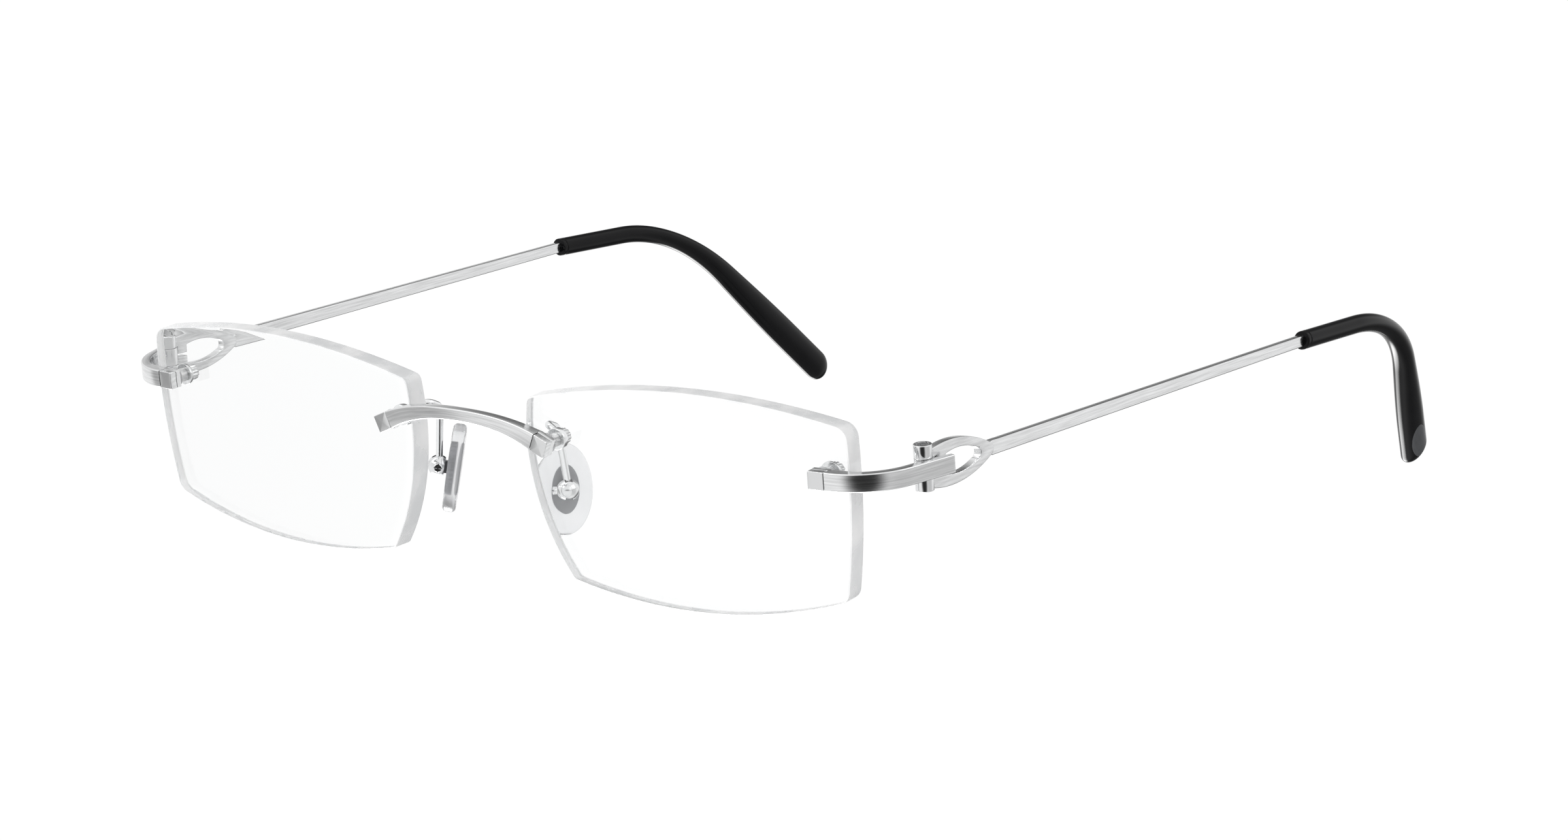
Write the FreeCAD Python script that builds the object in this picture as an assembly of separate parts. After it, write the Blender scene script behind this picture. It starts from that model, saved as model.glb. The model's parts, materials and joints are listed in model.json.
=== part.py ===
import FreeCAD, Part

import math
import os

# Rimless eyeglasses, in millimetres. +Z is up, the wearer faces -Y, and the temples run back along +Y.
# The frame stands on the two lenses and the two temple tips, and is symmetric about X = 0.
# Everything is modelled for the side at +X ("left") and mirrored for the other side.

# ---------------------------------------------------------------- driving dimensions

# lenses: datum line through the lens centre, u runs outwards and v upwards in the lens plane
lens_gap = 20.1
lens_width = 49.0
lens_set_back = 1.05
lens_wrap = 3.93
lens_tilt = 7.23
lens_front_radius = 503.0
lens_back_radius = 300.0
lens_centre_thickness = 2.4
lens_top_crown = 11.6
lens_top_nasal = 8.3
lens_top_temporal = 9.3
lens_bottom_crown = 17.15
lens_bottom_nasal = 15.3
lens_bottom_temporal = 13.0
lens_nasal_inset = 5.6
lens_temporal_inset = 1.6
lens_side_inset = 0.25
lens_nasal_bulge = 2.5
lens_temporal_bulge = 0.75
lens_nasal_corner_radius = 1.1
lens_temporal_corner_radius = 2.0
nasal_hole_inset = 3.2
nasal_hole_height = 2.7
temporal_hole_inset = 3.75
temporal_hole_height = 3.1

# clamp stack through each lens hole
bar_height = 2.35
block_length = 2.3
block_thickness = 1.0
tongue_thickness = 0.8
seam_gap = 0.07
block_edge_radius = 0.1
stud_radius = 0.6
stud_end = 0.25
bush_wall = 0.3
bush_flange = 0.15
bush_flange_reach = 0.4
front_seat_gap = 0.02
rear_seat_gap = 0.045
washer_ring = 0.85
washer_thickness = 0.55
washer_edge_radius = 0.33
nut_wall = 0.45
nut_length = 1.1
nut_flutes = 12
flute_radius = 0.15

# bridge bar
bridge_droop = 23.0
bridge_rise = 2.15
bridge_bow = 0.75
bridge_mid_height = 1.55
bridge_mid_thickness = 1.3
bridge_stations = 6

# endpiece bars
bar_thickness = 1.25
bar_end_thickness = 0.8
bend_start = 1.75
bend_radius = 9.2
bend_angle = 68.8
free_end_run = 6.7
free_end_corner = 0.5
foot_skin = 0.3

# hinges
hinge_run = 3.2
barrel_radius = 1.2
barrel_height = 5.9
knuckle_gap = 0.04
screw_radius = 0.5
screw_clearance = 0.04
screw_head_reach = 0.35
screw_head_height = 0.5
screw_slot_width = 0.25
screw_slot_depth = 0.25
knuckle_wall = 0.12

# temples, in the temple's own frame: across, along and up from the hinge
temple_pitch = 3.3
temple_splay = 0.73
temple_drop = 0.2
loop_outer_face = 1.03
loop_thickness = 1.2
loop_start = 0.3
loop_start_half_height = 2.45
loop_crown = 4.8
loop_half_height = 2.9
loop_end = 12.7
loop_end_half_height = 0.62
loop_edge_radius = 0.22
leaf_clearance = 0.35
leaf_length = 1.65
leaf_slit = 0.45
opening_start_half = 1.3
opening_crown = 6.0
opening_crown_half = 1.6
opening_point = 11.1
opening_round = 0.85
bar_root = 11.5
bar_root_half_height = 0.5
bar_front_half_height = 0.95
bar_rear_half_height = 0.74
bar_front_half_thickness = 0.5
bar_rear_half_thickness = 0.52
tip_start = 82.5
tip_bend_along = 26.0
tip_bend_across = -0.9
tip_bend_up = -1.3
tip_end_along = 47.6
tip_end_across = -12.1
tip_end_height = 0.88
tip_bend_radius = 26.5
tip_front_half = 1.2
tip_neck_half = 1.3
tip_paddle_half_width = 2.55
tip_paddle_half_thickness = 1.35
tip_round = 2.3
tip_widen_from = 0.35
tip_widen_over = 0.5
tip_stations = 24
core_half_height = 0.55
core_half_thickness = 0.42
core_stop = 5.0
inlay_length = 7.2
inlay_width = 3.2
inlay_depth = 0.45
inlay_from_end = 5.0

# nose pads, from the eyelet of their arm: inwards, backwards and down to the pivot
pad_inset = 1.63
pad_behind = 3.7
pad_drop = 7.45
pad_splay = 38.5
pad_lean = 8.5
pad_height = 11.8
pad_width = 6.9
pad_thickness = 1.8
pad_edge_radius = 0.6
pivot_offset = 2.1
core_height = 6.4
core_width = 3.5
core_thickness = 0.5
core_depth = 0.45
lug_width = 0.8
lug_radius = 0.8
lug_side_clearance = 0.08
lug_top_clearance = 0.18
box_radius = 1.45
box_cut = 0.8
pad_screw_radius = 0.35
pad_screw_clearance = 0.035
pad_screw_head_reach = 0.2
pad_screw_head = 0.45
pad_slot_width = 0.18
pad_slot_depth = 0.2
eyelet_thickness = 0.8
arm_radius = 0.47
arm_bend_radius = 1.05
arm_nut_clearance = 0.06
arm_rise = (-0.53, 0.45, 0.7)
arm_crest = (-2.48, 0.65, 1.65)
arm_turn = (-2.68, 2.95, 0.75)
arm_foot = (-0.15, 0, 1.2)

# sizes that follow from them
bush_radius = stud_radius + bush_wall
bush_flange_radius = bush_radius + bush_flange_reach
washer_radius = stud_radius + washer_ring
nut_radius = stud_radius + nut_wall
screw_head_radius = screw_radius + screw_head_reach
barrel_chamfer = (barrel_radius - screw_head_radius) / 3
opening_start = barrel_radius + leaf_clearance + leaf_length
box_slot_top = lug_radius + lug_top_clearance
hair = 0.01

# ---------------------------------------------------------------- frames and helpers

Vec = FreeCAD.Vector


def frame_at(origin, across, up, front):
    """Placement whose X, Y and Z axes are the three given unit vectors."""
    matrix = FreeCAD.Matrix(across.x, up.x, front.x, origin.x,
                            across.y, up.y, front.y, origin.y,
                            across.z, up.z, front.z, origin.z)
    return FreeCAD.Placement(matrix)


def unit(vector):
    return Vec(vector) / vector.Length


def placed(shape, placement):
    """Copy of a shape drawn in local coordinates, moved to its place."""
    return shape.transformed(placement.toMatrix(), True)


def box_between(low, high):
    size = Vec(*high) - Vec(*low)
    return Part.makeBox(size.x, size.y, size.z, Vec(*low))


def cylinder(radius, low, high, axis=Vec(0, 0, 1), centre=Vec(0, 0, 0)):
    """Cylinder about an axis through a centre, between two distances along the axis."""
    return Part.makeCylinder(radius, high - low, centre + axis * low, axis)


def arc(start, middle, end):
    return Part.Arc(start, middle, end).toShape()


def line(start, end):
    return Part.LineSegment(start, end).toShape()


def bulged(start, end, bulge):
    """Arc between two points in the XY plane whose middle stands out to the left of the chord."""
    chord = end - start
    side = unit(Vec(-chord.y, chord.x, 0))
    return arc(start, (start + end) / 2 + side * bulge, end)


def one_solid(shape):
    """The single solid of a boolean result."""
    return shape.removeSplitter().Solids[0]


def rectangle(placement, half_x, low_y, high_y):
    """Closed rectangular wire in the XY plane of a frame."""
    corners = [Vec(-half_x, low_y, 0), Vec(half_x, low_y, 0), Vec(half_x, high_y, 0), Vec(-half_x, high_y, 0)]
    moved = [placement.multVec(corner) for corner in corners]
    return Part.makePolygon(moved + moved[:1])


def ellipse_wire(half_x, half_y):
    """Ellipse in the XY plane, longer along Y."""
    return Part.Wire(Part.Ellipse(Vec(0, half_y, 0), Vec(half_x, 0, 0), Vec(0, 0, 0)).toShape())


# ---------------------------------------------------------------- lens frame and mounts

wrap = math.radians(lens_wrap)
tilt = math.radians(lens_tilt)
lens_x = lens_gap / 2 + lens_width / 2 * math.cos(wrap)
lens_origin = Vec(lens_x, lens_set_back + lens_x * math.tan(wrap), lens_bottom_crown * math.cos(tilt))
lens_across = Vec(math.cos(wrap), math.sin(wrap), 0)
lens_up = Vec(math.sin(wrap) * math.sin(tilt), -math.cos(wrap) * math.sin(tilt), math.cos(tilt))
lens_front = lens_across.cross(lens_up)
lens_frame = frame_at(lens_origin, lens_across, lens_up, lens_front)


def lens_thickness(u, v):
    """Thickness along the front normal: the back face is the more curved of the two."""
    return lens_centre_thickness + (u * u + v * v) / 2 * (1 / lens_back_radius - 1 / lens_front_radius)


def mount_frame(u, v, turn):
    """Frame on the lens's front face at a hole: X along the bar, Z out of the face."""
    depth = (u * u + v * v) / (2 * lens_front_radius)
    origin = lens_frame.multVec(Vec(u, v, -depth))
    front = unit(lens_across * (u / lens_front_radius) + lens_up * (v / lens_front_radius) + lens_front)
    across = unit(lens_across - front * lens_across.dot(front))
    spin = FreeCAD.Rotation(front, turn)
    along = spin.multVec(across)
    return frame_at(origin, along, front.cross(along), front)


nasal_u = nasal_hole_inset - lens_width / 2
temporal_u = lens_width / 2 - temporal_hole_inset
nasal_mount = mount_frame(nasal_u, nasal_hole_height, -bridge_droop)
temporal_mount = mount_frame(temporal_u, temporal_hole_height, 0)
nasal_depth = lens_thickness(nasal_u, nasal_hole_height) + rear_seat_gap
temporal_depth = lens_thickness(temporal_u, temporal_hole_height) + rear_seat_gap
tongue_back = bush_flange
tongue_front = bush_flange + tongue_thickness
block_front = tongue_front + block_thickness


def make_lens():
    """Four arcs with rounded corners, cut between the front and back spheres, with two drilled holes."""
    half = lens_width / 2
    top_nasal = Vec(-half + lens_side_inset, lens_top_nasal, 0)
    top_temporal = Vec(half - lens_side_inset, lens_top_temporal, 0)
    low_temporal = Vec(half - lens_temporal_inset, -lens_bottom_temporal, 0)
    low_nasal = Vec(-half + lens_nasal_inset, -lens_bottom_nasal, 0)
    edges = [arc(top_nasal, Vec(0, lens_top_crown, 0), top_temporal),
             bulged(top_temporal, low_temporal, lens_temporal_bulge),
             arc(low_temporal, Vec(0, -lens_bottom_crown, 0), low_nasal),
             bulged(low_nasal, top_nasal, lens_nasal_bulge)]
    reach = 2 * lens_centre_thickness + lens_width ** 2 / lens_back_radius
    outline = Part.Face(Part.Wire(edges))
    prism = outline.extrude(Vec(0, 0, 2 * reach))
    prism.translate(Vec(0, 0, -reach))
    for side, radius in ((-1, lens_nasal_corner_radius), (1, lens_temporal_corner_radius)):
        corners = [edge for edge in prism.Edges
                   if edge.BoundBox.ZLength > reach and edge.CenterOfMass.x * side > 0]
        prism = prism.makeFillet(radius, corners)
    front = Part.makeSphere(lens_front_radius, Vec(0, 0, -lens_front_radius))
    back = Part.makeSphere(lens_back_radius, Vec(0, 0, -lens_centre_thickness - lens_back_radius))
    blank = placed(prism.common(front).cut(back), lens_frame)
    for mount, depth in ((nasal_mount, nasal_depth), (temporal_mount, temporal_depth)):
        blank = blank.cut(placed(cylinder(bush_radius, -2 * depth, depth), mount))
    return one_solid(blank)


# ---------------------------------------------------------------- clamp stack, in a mount's frame

def make_block(mount, depth, behind):
    """Square block that closes the bar's end, in one piece with the stud through the lens."""
    half = block_length / 2
    height = bar_height / 2
    block = box_between((-half, -height, tongue_front), (half, height, block_front))
    top_edges = [edge for edge in block.Edges if edge.BoundBox.ZMin > tongue_front + hair]
    block = block.makeFillet(block_edge_radius, top_edges)
    stud = cylinder(stud_radius, -depth - behind - stud_end, tongue_front)
    return placed(one_solid(block.fuse(stud)), mount)


def make_bush(mount, depth):
    """Flanged plastic bush between the stud and the lens."""
    sleeve = cylinder(bush_radius, -depth, bush_flange)
    bush = sleeve.fuse(cylinder(bush_flange_radius, front_seat_gap, bush_flange))
    return placed(one_solid(bush.cut(cylinder(stud_radius, -2 * depth, depth))), mount)


def make_washer(mount, depth):
    """Washer with a domed rear face, behind the lens."""
    washer = cylinder(washer_radius, -depth - washer_thickness, -depth)
    rear = [edge for edge in washer.Edges if edge.BoundBox.ZMax < -depth - washer_thickness + hair]
    washer = washer.makeFillet(washer_edge_radius, rear)
    return placed(one_solid(washer.cut(cylinder(stud_radius, -2 * depth, depth))), mount)


def make_nut(mount, depth, behind):
    """Fluted round nut on the stud's end."""
    low = -depth - behind - nut_length
    nut = cylinder(nut_radius, low, -depth - behind)
    for index in range(nut_flutes):
        angle = 2 * math.pi * index / nut_flutes
        centre = Vec(math.cos(angle), math.sin(angle), 0) * nut_radius
        nut = nut.cut(cylinder(flute_radius, 2 * low, 0, centre=centre))
    return placed(one_solid(nut.cut(cylinder(stud_radius, 2 * low, 0))), mount)


# ---------------------------------------------------------------- bridge

def mirrored(shape):
    return shape.mirror(Vec(0, 0, 0), Vec(1, 0, 0))


def make_bridge():
    """Bar arched over the nose. Its path is a cubic from the middle to each block's seam."""
    seam = nasal_mount.multVec(Vec(-block_length / 2 - seam_gap, 0, block_front))
    slope = nasal_mount.Rotation.multVec(Vec(1, 0, 0))
    end_front = nasal_mount.Rotation.multVec(Vec(0, 0, 1))
    middle = Vec(0, seam.y - bridge_bow, seam.z + bridge_rise)
    mid_front = Vec(0, -math.cos(tilt), -math.sin(tilt))
    end_rate = slope * (seam.x / slope.x)
    mid_rate = Vec(seam.x, 0, 0)
    wires = []
    for station in range(-bridge_stations, bridge_stations + 1):
        share = abs(station) / bridge_stations
        side = -1 if station < 0 else 1
        square = share * share
        cube = square * share
        point = (middle * (2 * cube - 3 * square + 1) + mid_rate * (cube - 2 * square + share)
                 + seam * (3 * square - 2 * cube) + end_rate * (cube - square))
        along = (middle * (6 * square - 6 * share) + mid_rate * (3 * square - 4 * share + 1)
                 + seam * (6 * share - 6 * square) + end_rate * (3 * square - 2 * share))
        front = mid_front * (1 - square) + end_front * square
        point = Vec(side * point.x, point.y, point.z)
        along = unit(Vec(along.x, side * along.y, side * along.z))
        front = Vec(side * front.x, front.y, front.z)
        front = unit(front - along * front.dot(along))
        height = bridge_mid_height + (bar_height - bridge_mid_height) * square
        full = block_front - tongue_back
        thickness = bridge_mid_thickness + (full - bridge_mid_thickness) * square * square
        section = frame_at(point, front.cross(along), front, along)
        wires.append(rectangle(section, height / 2, -thickness, 0))
    bar = Part.makeLoft(wires, True, False)
    half = block_length / 2
    tongue = box_between((-half - seam_gap, -bar_height / 2, tongue_back),
                         (half, bar_height / 2, tongue_front))
    tongue = placed(tongue, nasal_mount)
    hole = placed(cylinder(stud_radius, 0, block_front), nasal_mount)
    bar = bar.fuse([tongue, mirrored(tongue)]).cut([hole, mirrored(hole)])
    return one_solid(bar)


# ---------------------------------------------------------------- endpiece and hinge, in the temporal mount

turn = math.radians(bend_angle)
bend_end = Vec(bend_start + bend_radius * math.sin(turn), 0, block_front - bend_radius * (1 - math.cos(turn)))
run_along = Vec(math.cos(turn), 0, -math.sin(turn))
run_inward = Vec(-math.sin(turn), 0, -math.cos(turn))
hinge_offset = bar_thickness + screw_radius + screw_clearance + knuckle_wall
hinge_local = bend_end + run_along * hinge_run + run_inward * hinge_offset
middle_half = bar_height / 2
hinge_centre = temporal_mount.multVec(hinge_local)
hinge_axis = temporal_mount.Rotation.multVec(Vec(0, 1, 0))


def make_endpiece():
    """Flat bar along the lens, round its edge and past the hinge to a free end."""
    start = Vec(block_length / 2 + seam_gap, 0, block_front)
    bend_from = Vec(bend_start, 0, block_front)
    half_turn = turn / 2
    outer_mid = bend_from + Vec(math.sin(half_turn), 0, math.cos(half_turn) - 1) * bend_radius
    inner_radius = bend_radius - bar_thickness
    inner_from = bend_from - Vec(0, 0, bar_thickness)
    inner_start = start - Vec(0, 0, bar_thickness)
    inner_mid = inner_from + Vec(math.sin(half_turn), 0, math.cos(half_turn) - 1) * inner_radius
    inner_end = bend_end + run_inward * bar_thickness
    taper = inner_end + run_along * hinge_run
    tip_outer = bend_end + run_along * free_end_run
    tip_inner = tip_outer + run_inward * bar_end_thickness
    edges = [line(start, bend_from), arc(bend_from, outer_mid, bend_end), line(bend_end, tip_outer),
             line(tip_outer, tip_inner), line(tip_inner, taper), line(taper, inner_end),
             arc(inner_end, inner_mid, inner_from),
             line(inner_from, inner_start), line(inner_start, start)]
    band = Part.Face(Part.Wire(edges)).extrude(Vec(0, bar_height, 0))
    band.translate(Vec(0, -bar_height / 2, 0))
    drop = block_front - bar_thickness - tongue_back
    foot_reach = bend_start + math.sqrt(2 * inner_radius * drop - drop * drop)
    foot = box_between((start.x, -bar_height / 2, tongue_back),
                       (foot_reach, bar_height / 2, block_front - foot_skin))
    hub = cylinder(bend_radius - foot_skin, -bar_height, bar_height, Vec(0, 1, 0),
                   bend_from - Vec(0, 0, bend_radius))
    keep = hub.fuse(box_between((0, -bar_height, 0), (bend_start, bar_height, block_front)))
    tongue = box_between((-block_length / 2, -bar_height / 2, tongue_back),
                         (start.x, bar_height / 2, tongue_front))
    bar = band.fuse([foot.common(keep), tongue]).cut(cylinder(stud_radius, 0, block_front))
    bar = one_solid(bar)
    corners = [edge for edge in bar.Edges
               if min((vertex.Point - tip_outer).dot(run_along) for vertex in edge.Vertexes) > -hair
               and edge.Length < bar_end_thickness + hair]
    bar = bar.makeFillet(free_end_corner, corners)
    return placed(bar, temporal_mount)


def barrel_piece(radius, low, high):
    """Cylinder about the hinge axis, between two heights along it."""
    return cylinder(radius, low, high, hinge_axis, hinge_centre)


def make_front_knuckle(endpiece):
    """Middle knuckle, brazed to the inside of the endpiece."""
    knuckle = barrel_piece(barrel_radius, -middle_half, middle_half)
    knuckle = knuckle.cut(barrel_piece(screw_radius + screw_clearance, -barrel_height, barrel_height))
    return one_solid(knuckle.cut(endpiece))


def make_upper_knuckle():
    """Temple's upper knuckle, counterbored for the screw's head."""
    top = barrel_height / 2
    knuckle = barrel_piece(barrel_radius, middle_half + knuckle_gap, top)
    rim = [edge for edge in knuckle.Edges
           if min((v.Point - hinge_centre).dot(hinge_axis) for v in edge.Vertexes) > top - hair]
    knuckle = knuckle.makeChamfer(barrel_chamfer, rim)
    knuckle = knuckle.cut(barrel_piece(screw_radius, 0, barrel_height))
    return one_solid(knuckle.cut(barrel_piece(screw_head_radius, top - screw_head_height, barrel_height)))


def make_lower_knuckle():
    """Temple's lower knuckle, which the screw's thread holds."""
    bottom = -barrel_height / 2
    knuckle = barrel_piece(barrel_radius, bottom, -middle_half - knuckle_gap)
    rim = [edge for edge in knuckle.Edges
           if max((v.Point - hinge_centre).dot(hinge_axis) for v in edge.Vertexes) < bottom + hair]
    knuckle = knuckle.makeChamfer(barrel_chamfer, rim)
    return one_solid(knuckle.cut(barrel_piece(screw_radius, -barrel_height, 0)))


def make_hinge_screw():
    """Slotted screw whose head is flush with the top of the barrel."""
    top = barrel_height / 2
    screw = barrel_piece(screw_radius, -top, top - screw_head_height / 2)
    screw = screw.fuse(barrel_piece(screw_head_radius, top - screw_head_height, top))
    slot = box_between((-screw_slot_width / 2, -barrel_radius, top - screw_slot_depth),
                       (screw_slot_width / 2, barrel_radius, barrel_height))
    spin = FreeCAD.Placement(hinge_centre, FreeCAD.Rotation(Vec(0, 0, 1), hinge_axis))
    return one_solid(screw.cut(placed(slot, spin)))


# ---------------------------------------------------------------- temple, in its own frame

pitch = math.radians(temple_pitch)
splay = math.radians(temple_splay)
temple_along = Vec(math.sin(splay) * math.cos(pitch), math.cos(splay) * math.cos(pitch), math.sin(pitch))
temple_across = unit(temple_along.cross(Vec(0, 0, 1)))
temple_up = temple_across.cross(temple_along)
temple_frame = frame_at(hinge_centre, temple_across, temple_along, temple_up)
bar_axis = Vec(loop_outer_face - loop_thickness / 2, 0, -temple_drop)
tip_rise = tip_end_height - hinge_centre.z - (tip_start + tip_end_along) * temple_along.z
tip_from = bar_axis + Vec(0, tip_start, 0)
tip_bend = Vec(tip_bend_across, tip_start + tip_bend_along, tip_bend_up)
tip_to = Vec(tip_end_across, tip_start + tip_end_along, tip_rise / temple_up.z)
tip_first = unit(tip_bend - tip_from)
tip_second = unit(tip_to - tip_bend)
tip_turn = tip_first.getAngle(tip_second)
tip_tangent = tip_bend_radius * math.tan(tip_turn / 2)
tip_straight = (tip_bend - tip_from).Length - tip_tangent
tip_length = tip_straight + tip_bend_radius * tip_turn + (tip_to - tip_bend).Length - tip_tangent
tip_outward = unit(tip_second.cross(tip_first))


def eye_half(side, start, start_half, crown, crown_half, end, end_half):
    """Long edge of the eye above (side 1) or below (side -1) its middle line."""
    middle = Vec(0, crown, side * crown_half)
    return arc(Vec(0, start, side * start_half), middle, Vec(0, end, side * end_half))


def make_loop():
    """Pointed oval eye behind the hinge, open through its middle and split at its front."""
    outer = [eye_half(side, loop_start, loop_start_half_height, loop_crown, loop_half_height,
                      loop_end, loop_end_half_height) for side in (1, -1)]
    outer.append(line(Vec(0, loop_end, loop_end_half_height), Vec(0, loop_end, -loop_end_half_height)))
    front = Vec(0, 0, loop_start_half_height)
    outer.append(line(Vec(0, loop_start, 0) + front, Vec(0, loop_start, 0) - front))
    inner = [eye_half(side, opening_start, opening_start_half, opening_crown, opening_crown_half,
                      opening_point, 0) for side in (1, -1)]
    inner.append(line(Vec(0, opening_start, opening_start_half), Vec(0, opening_start, -opening_start_half)))
    through = Vec(loop_thickness, 0, 0)
    plate = Part.Face(Part.Wire(Part.sortEdges(outer)[0])).extrude(through)
    opening = Part.Face(Part.Wire(Part.sortEdges(inner)[0])).extrude(through)
    point = [edge for edge in opening.Edges if edge.BoundBox.YMin > opening_point - hair]
    plate = plate.cut(opening.makeFillet(opening_round, point))
    long_edges = [edge for edge in plate.Edges
                  if edge.BoundBox.XLength < hair and edge.BoundBox.YLength > opening_round / 4]
    plate = plate.makeFillet(loop_edge_radius, long_edges)
    plate.translate(Vec(loop_outer_face - loop_thickness, 0, -temple_drop))
    slit = box_between((-barrel_height, 0, -temple_drop - leaf_slit / 2),
                       (barrel_height, opening_start + loop_edge_radius * 2, -temple_drop + leaf_slit / 2))
    return placed(plate.cut(slit), temple_frame)


def temple_section(along, half_height, half_thickness):
    """Rectangular section across the temple bar at a distance from the hinge."""
    centre = temple_frame.multVec(bar_axis + Vec(0, along, 0))
    section = frame_at(centre, temple_across, temple_up, -temple_along)
    return rectangle(section, half_thickness, -half_height, half_height)


def tip_path(distance):
    """Point and direction on the tip's centre line: a straight run, a tangent arc, a straight run."""
    past_bend = distance - tip_straight - tip_bend_radius * tip_turn
    if distance < tip_straight:
        return tip_from + tip_first * distance, tip_first
    if past_bend > 0:
        return tip_bend + tip_second * (tip_tangent + past_bend), tip_second
    swept = (distance - tip_straight) / tip_bend_radius
    inward = unit(tip_second - tip_first * tip_second.dot(tip_first))
    centre = tip_from + tip_first * tip_straight + inward * tip_bend_radius
    spoke = tip_first * math.sin(swept) - inward * math.cos(swept)
    return centre + spoke * tip_bend_radius, tip_first * math.cos(swept) + inward * math.sin(swept)


def tip_section_frame(distance):
    """Frame across the tip: X towards the outside of the temple, Y up the section."""
    point, along = tip_path(distance)
    local = frame_at(point, tip_outward, along.cross(tip_outward), along)
    return temple_frame.multiply(local)


def tip_half_sizes(distance):
    """Half width and half thickness of the sleeve: round, then widening to a flat paddle."""
    share = min(max((distance / tip_length - tip_widen_from) / tip_widen_over, 0), 1)
    blend = share * share * (3 - 2 * share)
    width = tip_neck_half + (tip_paddle_half_width - tip_neck_half) * blend
    thickness = tip_front_half + (tip_paddle_half_thickness - tip_front_half) * blend
    return width, thickness


def make_tip_outer():
    """Whole outer shape of the plastic sleeve: a loft through ellipses, closed by half an ellipsoid."""
    body = tip_length - tip_round
    wires = []
    for index in range(tip_stations + 1):
        distance = body * index / tip_stations
        width, thickness = tip_half_sizes(distance)
        wires.append(placed(ellipse_wire(thickness, width), tip_section_frame(distance)))
    sleeve = Part.makeLoft(wires, True, True)
    stretch = FreeCAD.Matrix()
    stretch.scale(thickness, width, tip_round)
    dome = Part.makeSphere(1).common(box_between((-1, -1, 0), (1, 1, 1))).transformGeometry(stretch)
    return one_solid(sleeve.fuse(placed(dome, tip_section_frame(body))))


def make_tip_core():
    """Flat metal core that runs inside the sleeve, as part of the temple."""
    last = tip_length - core_stop
    wires = []
    for index in range(tip_stations + 1):
        frame = tip_section_frame(last * index / tip_stations)
        wires.append(rectangle(frame, core_half_thickness, -core_half_height, core_half_height))
    return Part.makeLoft(wires, True, True)


def make_temple(core, knuckles):
    """Loop, flat bar and core in one piece, notched round the hinge barrel."""
    bar = Part.makeLoft([temple_section(bar_root, bar_root_half_height, bar_front_half_thickness),
                         temple_section(loop_end, bar_front_half_height, bar_front_half_thickness),
                         temple_section(tip_start, bar_rear_half_height, bar_rear_half_thickness)],
                        True, True)
    temple = make_loop().fuse([bar, core])
    notch_half = middle_half + knuckle_gap
    notch = barrel_piece(barrel_radius + leaf_clearance, -notch_half, notch_half)
    temple = temple.cut([notch] + knuckles)
    return one_solid(temple)


def make_inlay(tip_outer):
    """Blank oval plate let into the outer face of the paddle."""
    frame = tip_section_frame(tip_length - inlay_from_end)
    floor = Vec(tip_paddle_half_thickness - inlay_depth, 0, 0)
    upright = frame_at(floor, Vec(0, 1, 0), Vec(0, 0, 1), Vec(1, 0, 0))
    outline = placed(ellipse_wire(inlay_width / 2, inlay_length / 2), upright)
    plate = Part.Face(outline).extrude(Vec(3 * tip_paddle_half_thickness, 0, 0))
    return one_solid(placed(plate, frame).common(tip_outer))


# ---------------------------------------------------------------- nose pads

eyelet_back = -nasal_depth - eyelet_thickness
eyelet_centre = nasal_mount.multVec(Vec(0, 0, eyelet_back + eyelet_thickness / 2))
pad_pivot = eyelet_centre + Vec(-pad_inset, pad_behind, -pad_drop)
pad_turn = math.radians(pad_splay)
pad_out = Vec(math.cos(pad_turn), -math.sin(pad_turn), 0)
pad_side = Vec(math.sin(pad_turn), math.cos(pad_turn), 0)
lean = FreeCAD.Rotation(pad_side, -pad_lean)
pad_out = lean.multVec(pad_out)
pad_up = pad_out.cross(pad_side)
pad_frame = frame_at(pad_pivot, pad_side, pad_up, pad_out)
pad_axis = pad_side


def oval(half_width, half_height, low, high):
    """Elliptical plate in the pad's frame, between two distances along its outward axis."""
    face = Part.Face(ellipse_wire(half_width, half_height))
    face.translate(Vec(0, 0, low))
    return face.extrude(Vec(0, 0, high - low))


def make_pad_core():
    """Oval metal core with a drilled lug that sits in the pad box."""
    front = -pivot_offset + pad_thickness / 2 - core_depth
    plate = oval(core_width / 2, core_height / 2, front - core_thickness, front)
    lug = box_between((-lug_width / 2, -lug_radius, front - core_thickness / 2),
                      (lug_width / 2, lug_radius, 0))
    lug = lug.fuse(cylinder(lug_radius, -lug_width / 2, lug_width / 2, Vec(1, 0, 0)))
    core = plate.fuse(lug)
    hole = cylinder(pad_screw_radius + pad_screw_clearance, -lug_width, lug_width, Vec(1, 0, 0))
    return one_solid(core.cut(hole))


def make_pad(core):
    """Clear soft oval pad moulded round the core."""
    middle = -pivot_offset
    pad = oval(pad_width / 2, pad_height / 2, middle - pad_thickness / 2, middle + pad_thickness / 2)
    rims = [edge for edge in pad.Edges if edge.BoundBox.ZLength < hair]
    pad = pad.makeFillet(pad_edge_radius, rims)
    return one_solid(pad.cut(core))


def make_pad_box():
    """Ball-shaped box on the arm's end, slotted for the pad's lug."""
    reach = 2 * box_radius
    half = lug_width / 2 + lug_side_clearance
    ball = Part.makeSphere(box_radius).common(box_between((-reach, -reach, -box_cut), (reach, reach, reach)))
    ball = ball.cut(box_between((-half, -reach, -reach), (half, reach, box_slot_top)))
    return one_solid(ball.cut(cylinder(pad_screw_radius, -reach, reach, Vec(1, 0, 0))))


def make_pad_screw():
    """Cross-slotted screw through the pad box, with its head at the front."""
    head_end = -box_radius - pad_screw_head
    screw = cylinder(pad_screw_radius, -box_radius, box_radius, Vec(1, 0, 0))
    screw = screw.fuse(cylinder(pad_screw_radius + pad_screw_head_reach, head_end, -box_radius, Vec(1, 0, 0)))
    half = pad_slot_width / 2
    for half_y, half_z in ((half, box_radius), (box_radius, half)):
        slot = box_between((2 * head_end, -half_y, -half_z), (head_end + pad_slot_depth, half_y, half_z))
        screw = screw.cut(slot)
    return one_solid(screw)


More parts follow.
